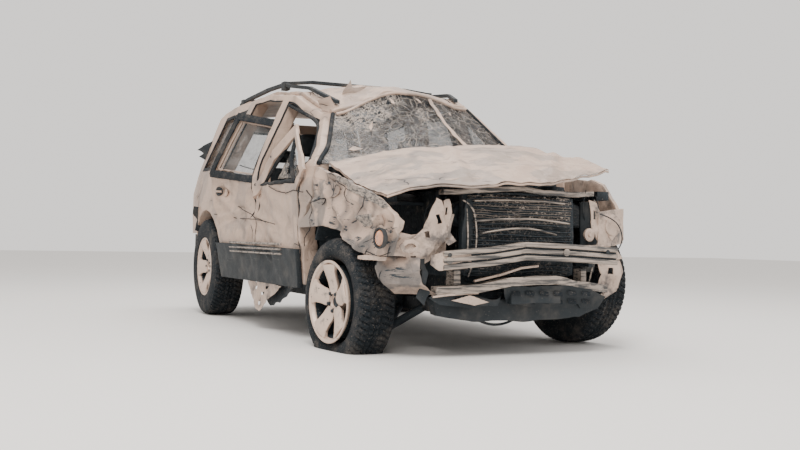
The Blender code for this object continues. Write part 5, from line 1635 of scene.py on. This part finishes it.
def door_fittings():
    """Handles, a lock, belt strips, the mirror's stump, the fuel flap's seam and the hinge pins."""
    y, z = 0.845, 0.935
    recess = oval(y, z, 0.052, 0.034, on_rear_door, 0.006)
    settle(recess, "handle_recess_right", PLASTIC)
    lock = oval(y - 0.115, z - 0.004, 0.024, 0.026, on_rear_door, 0.007)
    settle(lock, "lock_dish_right", PAINT)
    path = [
        on_rear_door(y - 0.045 + 0.030 * k, z, 0.004 + 0.013 * math.sin(math.pi * k / 3)) for k in range(4)
    ]
    settle(tube(path, 0.008, sides=3), "handle_right", PAINT)
    for y, z, body, word in (
        (-0.015, 0.955, "front_door_left", "front"), (0.80, 0.965, "rear_door_left", "rear"),
    ):
        recess = oval(y, z, 0.060, 0.036, lambda a, b, out: on_side(1, a, b, out), 0.005)
        settle(recess, "handle_recess_left_" + word, PLASTIC, body=body)
        path = [on_side(
            1, y - 0.085 + 0.0425 * k, z + 0.006, 0.001 + 0.006 * math.sin(math.pi * k / 4),
        ) for k in range(5)]
        settle(tube(path, 0.0050, sides=4), "handle_left_" + word, PLASTIC, body=body)
    for body, word, start, end in (
        ("front_door_left", "front", -0.76, 0.06), ("rear_door_left", "rear", 0.22, 0.92),
    ):
        path = [on_side(1, start + (end - start) * k / 10, 1.066, 0.001) for k in range(11)]
        settle(tube(path, 0.008, sides=2), "belt_strip_left_" + word, RUBBER, body=body)
    base = [on_side(1, -0.72, 1.10, 0.001), on_side(1, -0.70, 1.105, 0.010), on_side(1, -0.67, 1.11, 0.014)]
    settle(tube(base, 0.012, sides=4), "mirror_stump_left", PLASTIC, body="front_door_left")
    flap_outline = [(1.50, 0.90), (1.66, 0.90), (1.66, 1.04), (1.50, 1.04)]
    border("fuel_flap_seam", flap_outline, 0.002, 0.004, at_side(1, 0.0005), "body", PLASTIC, 0.003)
    pins = []
    for z in (0.60, 0.88):
        for at in (-0.790, 0.172):
            ends = on_side(1, at, z - 0.02, -0.030), on_side(1, at, z + 0.02, -0.030)
            pins.append(drum(*ends, 0.010, 0.010, 16))
    settle(pins, "hinge_pins_left", WORN)


def door_triangle():
    """The crazed scrap and black rubber left in the front right door's bent frame."""
    scrap = [(-0.70, 0.955), (-0.30, 0.965), (-0.42, 1.06), (-0.52, 1.15), (-0.62, 1.07)]
    gap = [(-0.60, 0.985), (-0.44, 0.990), (-0.50, 1.08)]
    made = sheet(scrap, [gap], 0.02, lambda y, z: Vector((-0.835 + 0.10 * (z - 0.95), y, z)), 0.005)
    settle(wrinkled(made, 0.012, 0.08, 2.0), "door_glass_scrap", CRAZED, 25.0)
    sill = [
        Vector((-0.868, y, 0.938 + 0.004 * math.sin(y * 30))) for y in [-0.74 + 0.08 * k for k in range(11)]
    ]
    leg = [
        Vector((-0.868, -0.70, 0.94)), Vector((-0.862, -0.62, 1.02)), Vector((-0.835, -0.575, 1.14)),
        Vector((-0.805, -0.56, 1.22)),
    ]
    back = [Vector((-0.862, -0.10, 0.94)), Vector((-0.846, -0.28, 1.06)), Vector((-0.818, -0.50, 1.20))]
    settle([tube(line, 0.013, sides=3) for line in (sill, leg, back)], "door_frame_rubber", RUBBER, 50.0)


def clad_trim():
    """The pale strip along the right cladding's top and the two pale ribs below it."""
    def on_clad(y, z, out):
        return Vector((-(half_width(y, z) + out), y, z))

    strip = [on_clad(-0.55 + 0.14 * k, 0.560, 0.019) for k in range(9)]
    settle(tube(strip, 0.0075, sides=2), "clad_lip_right", WORN)
    grooves = []
    for z in (0.528, 0.500):
        grooves.append(tube([on_clad(-0.56 + 0.14 * k, z, 0.0245) for k in range(9)], 0.0060, sides=2))
    settle(grooves, "clad_ribs", WORN)


def flap_right():
    """The pale torn flap under the right sill and the dark sheet behind it."""
    outline = [
        (0.0, 0.0), (0.26, 0.0), (0.21, -0.06), (0.155, -0.115), (0.10, -0.205), (0.065, -0.185),
        (0.060, -0.13), (0.025, -0.09),
    ]
    holes = [
        [(0.06, -0.035), (0.085, -0.03), (0.08, -0.055), (0.058, -0.055)],
        [(0.115, -0.065), (0.135, -0.060), (0.13, -0.085), (0.112, -0.085)],
        [(0.145, -0.025), (0.165, -0.022), (0.160, -0.040), (0.147, -0.042)],
        [(0.085, -0.135), (0.10, -0.130), (0.096, -0.155), (0.084, -0.155)],
    ]
    low, high = box_of("sill_flap_right")
    x, y, z = (low.x + high.x) / 2, high.y - 0.01, high.z - 0.002
    stretch = (high.y - low.y - 0.02) / 0.26
    made = sheet(
        outline, holes, 0.012,
        lambda u, v: Vector((x, y - u * stretch, z + v * (high.z - low.z - 0.004) / 0.205)), 0.003,
    )
    wrinkled(made, 0.012, 0.07, 3.0)
    settle(made, "sill_flap_torn", METAL, 30.0, replaces=("sill_flap_right",))
    back = sheet([(0.02, 0.0), (0.30, 0.0), (0.22, -0.10), (0.12, -0.15), (0.06, -0.08)], [], 0.015,
                 lambda u, v: Vector((x + 0.05, y - u * stretch, z + v)), 0.003)
    settle(wrinkled(back, 0.014, 0.07, 6.0), "sill_flap_dark", STEEL, 30.0)


def rear_right_bits():
    """Broken trim and liner at the rear right corner."""
    torn(
        "broken_trim_rear",
        [(197, 150), (204, 146), (213, 142), (216, 149), (212, 156), (208, 161), (199, 158), (203, 154)],
        lambda px, py: 1.76 + (211 - px) * 0.004, PLASTIC, wrinkle=0.014,
    )
    torn(
        "broken_liner_rear",
        [(194, 206), (205, 209), (213, 216), (206, 222), (200, 232), (195, 230), (197, 219), (193, 213)],
        1.60, PLASTIC, holes=[[(199, 213), (203, 214), (202, 218)]], wrinkle=0.014,
    )


def on_flank(px, py, out=0.0):
    """The point of the right side that the photograph shows at a pixel."""
    x = -0.88
    for _ in range(4):
        p = side_spot(px, py, x)
        x = -(half_width(p.y, p.z) + 0.004)
    flat = Vector((x, p.y, p.z))
    return flat + crash(flat) + Vector((-out, 0, 0))


# Cracks, as lines of pixels
CRACKS = (
    (
        (323, 172), (329, 176), (335, 177), (340, 183), (349, 185), (356, 191), (366, 194), (374, 201),
        (382, 205),
    ),
    ((331, 181), (336, 186), (333, 192), (341, 199), (344, 202)), ((337, 187), (342, 190), (339, 195)),
    ((305, 203), (311, 197), (316, 197), (313, 204)),
    ((366, 242), (373, 238), (377, 234), (372, 241), (369, 248)),
    ((362, 251), (370, 254), (378, 256), (386, 252)),
    ((303, 190), (306, 200), (303, 214), (305, 230), (302, 246)),
    ((268, 186), (274, 191), (284, 193), (292, 190), (301, 192)),
    ((217, 196), (226, 203), (238, 209), (249, 216), (262, 222)),
    ((214, 214), (232, 218), (252, 219), (272, 224)),
)


def on_flank_sheet(u, v):
    return on_flank(u / FLANK_PIXEL, -v / FLANK_PIXEL, 0.0016)


def tears():
    """Dark cracks across the right fender and doors, and the fender's rubbed band, patch and peel."""
    lines = []
    for line in CRACKS:
        points = []
        for (ax, ay), (bx, by) in zip(line, line[1:]):
            points += [on_flank(ax + (bx - ax) * k / 4, ay + (by - ay) * k / 4, -0.0012) for k in range(4)]
        points.append(on_flank(*line[-1], -0.0012))
        lines.append(tube(points, 0.0026, smooth=False, sides=1))
    settle(lines, "side_cracks", RUBBER, 50.0)
    for name, outline, finish in (
        ("fender_band", [
            (326, 172), (338, 177), (352, 183), (368, 191), (382, 201), (386, 206), (380, 208), (368, 202),
            (360, 196), (349, 191), (341, 186), (335, 183), (330, 177),
        ], WORN),
        ("fender_patch", [(351, 216), (366, 213), (369, 222), (357, 227)], WORN),
        ("fender_peel", [(307, 178), (322, 176), (331, 186), (326, 196), (312, 196)], SCUFFED_PAINT),
    ):
        flat = [(px * FLANK_PIXEL, -py * FLANK_PIXEL) for px, py in outline]
        made = sheet(flat, [], 0.014, on_flank_sheet, 0.003)
        softened(made, 0.0008, 60, 1)
        settle(wrinkled(made, 0.0016, 0.05, 5.0), name, finish, 30.0)


ROOF_TOP = (
    (-0.33, 1.600), (0.0, 1.622), (0.35, 1.622), (0.8, 1.614), (1.3, 1.602), (1.6, 1.582), (1.76, 1.560),
)


def roof_fittings():
    dressed("roof_rack", PLASTIC, 0.006, 0.04, None)
    grooves = []
    for side in (-1, 1):
        path = []
        for k in range(16):
            y = -0.25 + 1.85 * k / 15
            edge = crushed(side * 0.520, y, 1.63)
            flat = Vector((edge.x, y, between(ROOF_TOP, y) + 0.026 + edge.z - 1.63))
            path.append(flat + crash(flat) + Vector((0, 0, 0.0005)))
        grooves.append(tube(path, 0.0048, sides=1))
    settle(grooves, "roof_grooves", RUBBER)
    torn("roof_fold", [
        (341, 98), (343, 91), (347, 86), (351, 80), (352, 87), (358, 87), (366, 86), (372, 87), (368, 91),
        (356, 94), (348, 99),
    ], -0.10, SCUFFED_PAINT, wall=0.003, step=0.014)
    torn(
        "pillar_shard", [(318, 100), (330, 96), (335, 104), (333, 118), (328, 112), (322, 110)], -0.30,
        PAINT, wall=0.003, step=0.02, wrinkle=0.015,
    )


# Rear end

# y by z, of the tailgate and of the tail lamps
TAIL_FACE = ((0.40, 2.05), (0.60, 2.045), (0.95, 2.00), (1.12, 1.90), (1.62, 1.745))
LAMP_FACE = ((0.90, 2.016), (0.95, 2.010), (1.10, 1.930), (1.15, 1.902), (1.24, 1.880))


def tail(x, z, out=0.0):
    return Vector((x, between(TAIL_FACE, z) + out - 0.045 * (x / 0.8) ** 2, z))


def rear_end():
    """Tailgate seal, blank plate, handle, crease and wiper; lamps, bumper step and reflectors."""
    window = [(-0.58, 1.10), (0.58, 1.10), (0.47, 1.47), (-0.47, 1.47)]
    border(
        "tail_window_seal", window, 0.012, 0.018, lambda x, z: tail(x, z, 0.001), "tailgate", RUBBER, 0.008,
    )
    plate = [(-0.27, 0.80), (0.27, 0.80), (0.27, 0.945), (-0.27, 0.945)]
    border("plate_frame", plate, 0.012, 0.004, lambda x, z: tail(x, z, 0.004), "tailgate", PLASTIC, 0.012)
    blank = sheet(grown(plate, -0.006), [], 0.04, lambda x, z: tail(x, z, 0.001), 0.003)
    settle(blank, "plate_place", STRAIGHT_PAINT, body="tailgate")
    handle = tube([
        tail(-0.20 + 0.10 * k, 0.985, 0.012 + 0.010 * math.sin(math.pi * k / 4)) for k in range(5)
    ], 0.016, sides=4)
    settle(handle, "tail_handle", PLASTIC, body="tailgate")
    # A dark rubber line along the tailgate's crease, painted shade in the crease.
    crease = [tail(-0.62 + 0.124 * k, 1.055, 0.0) for k in range(11)]
    settle(tube(crease, 0.006, sides=2), "tail_crease", RUBBER, body="tailgate")
    pivot = tail(0.05, 1.085, 0.018)
    wiper = [
        drum(tail(0.05, 1.085, 0.0), pivot, 0.020, 0.016, 20),
        tube([pivot, tail(-0.10, 1.12, 0.020), tail(-0.34, 1.17, 0.016)], 0.006, sides=2),
        tube([
            tail(-0.14, 1.125, 0.010), tail(-0.30, 1.158, 0.008), tail(-0.46, 1.195, 0.006),
        ], 0.0045, sides=2),
    ]
    settle(wiper, "tail_wiper", PLASTIC, body="tailgate")
    for side, word in SIDES:
        dressed("tail_lamp_" + word, RED, 0.004, 0.02, None)
        bands = []
        for z in (0.985, 1.055, 1.125, 1.19):
            x = side * (0.745 - (half_width(2.0, 0.95) - half_width(2.0, z)))
            face = between(LAMP_FACE, z) + 0.006
            line = [Vector((x + dx, face - abs(dx) * 0.1, z)) for dx in (-0.036, -0.012, 0.012, 0.036)]
            bands.append(tube(line, 0.0035, sides=2))
        settle(bands, "tail_lamp_bands_" + word, PLASTIC)
    step = []
    for k in range(7):
        line = [(-0.36 + 0.12 * j, 2.050 + 0.0065 * k - 0.0005, 0.6165) for j in range(7)]
        step.append(tube(line, 0.0022, sides=1))
    settle(step, "bumper_step", RUBBER)
    reflectors = []
    for ends in (((-0.60, 2.083), (-0.50, 2.0985)), ((0.50, 2.0985), (0.60, 2.083))):
        reflectors.append(bar([(x, y, 0.50) for x, y in ends], (0.012, 0.040), 0.003))
    settle(reflectors, "reflectors", RED)


# Interior

CABIN_FLOOR = 0.345
BENCH_SEAMS = (-0.19, 0.19)
CLOTH_FRAMES = 14


def pad(name, profile, low_x, high_x, swell):
    """A cushion: its block remeshed, then blown up as cloth, so that its faces crown."""
    count = len(profile)
    inset = 0.012
    middle = [sum(p[k] for p in profile) / count for k in (0, 1)]
    drawn = [(p[0] + (middle[0] - p[0]) * 0.06, p[1] + (middle[1] - p[1]) * 0.06) for p in profile]
    points = [(x, y, z) for x in (low_x + inset, high_x - inset) for y, z in drawn]
    faces = [tuple(range(count)), tuple(range(2 * count - 1, count - 1, -1))]
    faces += [(i, (i + 1) % count, (i + 1) % count + count, i + count) for i in range(count)]
    made = mesh_piece(name, points, faces)
    outward(made)
    modify(made, "REMESH", mode="VOXEL", voxel_size=0.013)
    rest = [v.co.copy() for v in made.data.vertices]
    pick(made)
    bpy.ops.object.modifier_add(type="CLOTH")
    cloth = made.modifiers[-1]
    cloth.settings.use_pressure = True
    cloth.settings.uniform_pressure_force = 4.0
    cloth.settings.effector_weights.gravity = 0
    cloth.settings.quality = 4
    cloth.point_cache.frame_end = CLOTH_FRAMES
    for frame_number in range(1, CLOTH_FRAMES + 1):
        bpy.context.scene.frame_set(frame_number)
    bpy.ops.object.modifier_apply(modifier=cloth.name)
    bpy.context.scene.frame_set(1)
    reach_y = min(p[0] for p in profile), max(p[0] for p in profile)
    for vertex, before in zip(made.data.vertices, rest):
        shift = vertex.co - before
        if shift.length > swell:
            vertex.co = before + shift.normalized() * swell
        for k, (low, high) in enumerate(((low_x, high_x), reach_y)):
            vertex.co[k] = min(high + 0.004, max(low - 0.004, vertex.co[k]))
    modify(made, "SMOOTH", factor=0.5, iterations=3)
    return made


def channelled(made, seams_x, depth, pulled=(0.6, -0.6)):
    """Sewn channels across a pad at the given places along X. pulled is their share along Y and Z."""
    for vertex in made.data.vertices:
        near = min(abs(vertex.co.x - at) for at in seams_x)
        pull = depth * math.exp(-(near / 0.010) ** 2)
        vertex.co.y += pull * pulled[0]
        vertex.co.z += pull * pulled[1]
    return made


def finished_pad(made, name, replaces=()):
    settle(made, name, TRIM, 180.0, replaces=replaces)


def copied(piece, shift):
    twin = linked(piece.name, piece.data.copy())
    twin.data.transform(Matrix.Translation(shift))
    return twin


def seats():
    cushion = pad(
        "seat_pad", [(-0.31, 0.47), (0.10, 0.44), (0.12, 0.585), (-0.31, 0.605)], -0.61, -0.15, 0.020,
    )
    channelled(cushion, (-0.52, -0.24), 0.014)
    back = pad("back_pad", [(0.07, 0.57), (0.18, 0.55), (0.33, 1.11), (0.235, 1.14)], -0.60, -0.16, 0.018)
    channelled(back, (-0.51, -0.25), 0.014, (0.7, 0.0))
    head = pad(
        "head_pad", [(0.272, 1.17), (0.345, 1.16), (0.368, 1.318), (0.275, 1.325)], -0.49, -0.27, 0.014,
    )
    for word, shift in (("right", 0.0), ("left", 0.76)):
        for piece, what in ((cushion, "cushion"), (back, "back"), (head, "head")):
            twin = copied(piece, (shift, 0, 0))
            finished_pad(
                twin, "seat_%s_%s" % (what, word), ("seat_front_" + word,) if what == "cushion" else (),
            )
        x = -0.38 + shift
        frame_parts = [
            block((x - 0.235, -0.30, CABIN_FLOOR), (x + 0.235, 0.15, 0.47), 0.018),
            *(tube([(at, 0.30, 1.12), (at, 0.315, 1.19)], 0.007, sides=3) for at in (x - 0.07, x + 0.07)),
            drum((x - 0.238, 0.10, 0.52), (x - 0.222, 0.10, 0.52), 0.045, 0.040, 28, 0.004),
            drum((x + 0.222, 0.10, 0.52), (x + 0.238, 0.10, 0.52), 0.040, 0.045, 28, 0.004),
        ]
        settle(frame_parts, "seat_base_" + word, PLASTIC)
    for piece in (cushion, back, head):
        bpy.data.objects.remove(piece)
    bench = pad("bench_pad", [(0.53, 0.50), (1.03, 0.50), (1.00, 0.655), (0.52, 0.650)], -0.56, 0.56, 0.018)
    finished_pad(channelled(bench, BENCH_SEAMS, 0.016), "bench_cushion", ("seat_rear",))
    rest = pad(
        "bench_back", [(0.965, 0.665), (1.055, 0.63), (1.185, 1.15), (1.08, 1.17)], -0.56, 0.56, 0.018,
    )
    finished_pad(channelled(rest, BENCH_SEAMS, 0.016, (0.7, 0.0)), "bench_backrest")
    box = [
        block((-0.55, 0.535, CABIN_FLOOR), (0.55, 0.70, 0.50), 0.02),
        block((-0.55, 0.88, 0.49), (0.55, 1.05, 0.53), 0.01),
    ]
    settle(box, "bench_base", PLASTIC)
    heads = pad(
        "bench_head", [(1.085, 1.185), (1.165, 1.175), (1.18, 1.27), (1.10, 1.275)], -0.46, -0.22, 0.014,
    )
    for word, shift in (("right", 0.0), ("left", 0.68)):
        finished_pad(copied(heads, (shift, 0, 0)), "bench_head_" + word)
    bpy.data.objects.remove(heads)


def cabin():
    """Dash, steering wheel, console and the left doors' cards."""
    dressed("dashboard", TRIM, 0.010, 0.04, None)
    tilt = Matrix.Rotation(math.radians(-69), 4, "X") @ Matrix.Rotation(math.radians(90), 4, "Y")
    wheel = Matrix.Translation((0.38, -0.38, 0.917)) @ tilt
    turns = [math.tau * k / 14 for k in range(15)]
    ring = spun([(-0.013 + 0.013 * (1 - math.cos(a)), 0.175 + 0.013 * math.sin(a)) for a in turns], 60)
    hub = spun([(-0.020, 0.0), (-0.020, 0.055), (0.004, 0.065), (0.022, 0.052), (0.028, 0.0)], 36)
    rim_of_wheel = merged([ring, hub])
    rim_of_wheel.data.transform(wheel)
    settle(rim_of_wheel, "steering_wheel", RUBBER, 50.0)
    parts = [
        block((-0.105, -0.60, CABIN_FLOOR), (0.105, -0.10, 0.50), 0.03),
        block((-0.09, -0.10, CABIN_FLOOR), (0.09, 0.22, 0.56), 0.03),
        block((-0.14, -0.66, 0.50), (0.14, -0.545, 0.93), 0.02),
        tube([(0.0, -0.34, 0.50), (0.0, -0.33, 0.60), (0.0, -0.30, 0.66)], 0.011, sides=3),
        drum((0.0, -0.30, 0.655), (0.0, -0.295, 0.715), 0.024, 0.020, 20, 0.006),
    ]
    for x, width in ((-0.56, 0.14), (-0.25, 0.09), (0.22, 0.09), (0.60, 0.11)):
        parts.append(block((x - width / 2, -0.580, 0.86), (x + width / 2, -0.545, 0.925), 0.008))
    cluster = block((0.20, -0.62, 0.955), (0.56, -0.50, 1.035), 0.03)
    settle([*parts, cluster], "console", PLASTIC)
    for body, word, start, end in (
        ("front_door_left", "front", -0.74, 0.03), ("rear_door_left", "rear", 0.25, 0.80),
    ):
        card = sheet(
            [(start, 0.50), (end, 0.50), (end, 1.02), (start, 1.02)], [], 0.05,
            lambda y, z: crushed(half_width(y, z) - 0.078, y, z) - Vector((0.003 * math.sin(z * 40), 0, 0)),
            0.006,
        )
        arm = [
            crushed(half_width(y, 0.78) - 0.092, y, 0.78)
            for y in [start + 0.10 + (end - start - 0.20) * k / 4 for k in range(5)]
        ]
        rest = tube(arm, 0.024, sides=4)
        settle([card, rest], "door_card_left_" + word, TRIM, body=body)


# Underneath

def underside():
    for node in (
        "rear_axle", "front_cradle", "knuckle_left", "knuckle_right", "exhaust", "fuel_tank", "apron_left",
        "apron_right", "firewall",
    ):
        dressed(node, PLASTIC if node == "fuel_tank" else STEEL, 0.0025, 0.08, None)
    ribs = []
    for y in (-0.55, -0.25, 0.05, 0.35):
        ribs.append(bar([(-0.62, y, 0.334), (0.62, y, 0.334)], (0.05, 0.010), 0.003))
    settle(ribs, "floor_ribs", STEEL)


for build in (
    stage, camera, finish_cad_nodes, body_panels, wheels, radiator_core, bumper_beam, nose_bars,
    nose_tears, tray, engine_bay, lamp_right, hood_skin, window_seals, screen, door_fittings, clad_trim,
    flap_right, rear_right_bits, door_triangle, tears, roof_fittings, rear_end, seats, cabin, underside,
):
    build()
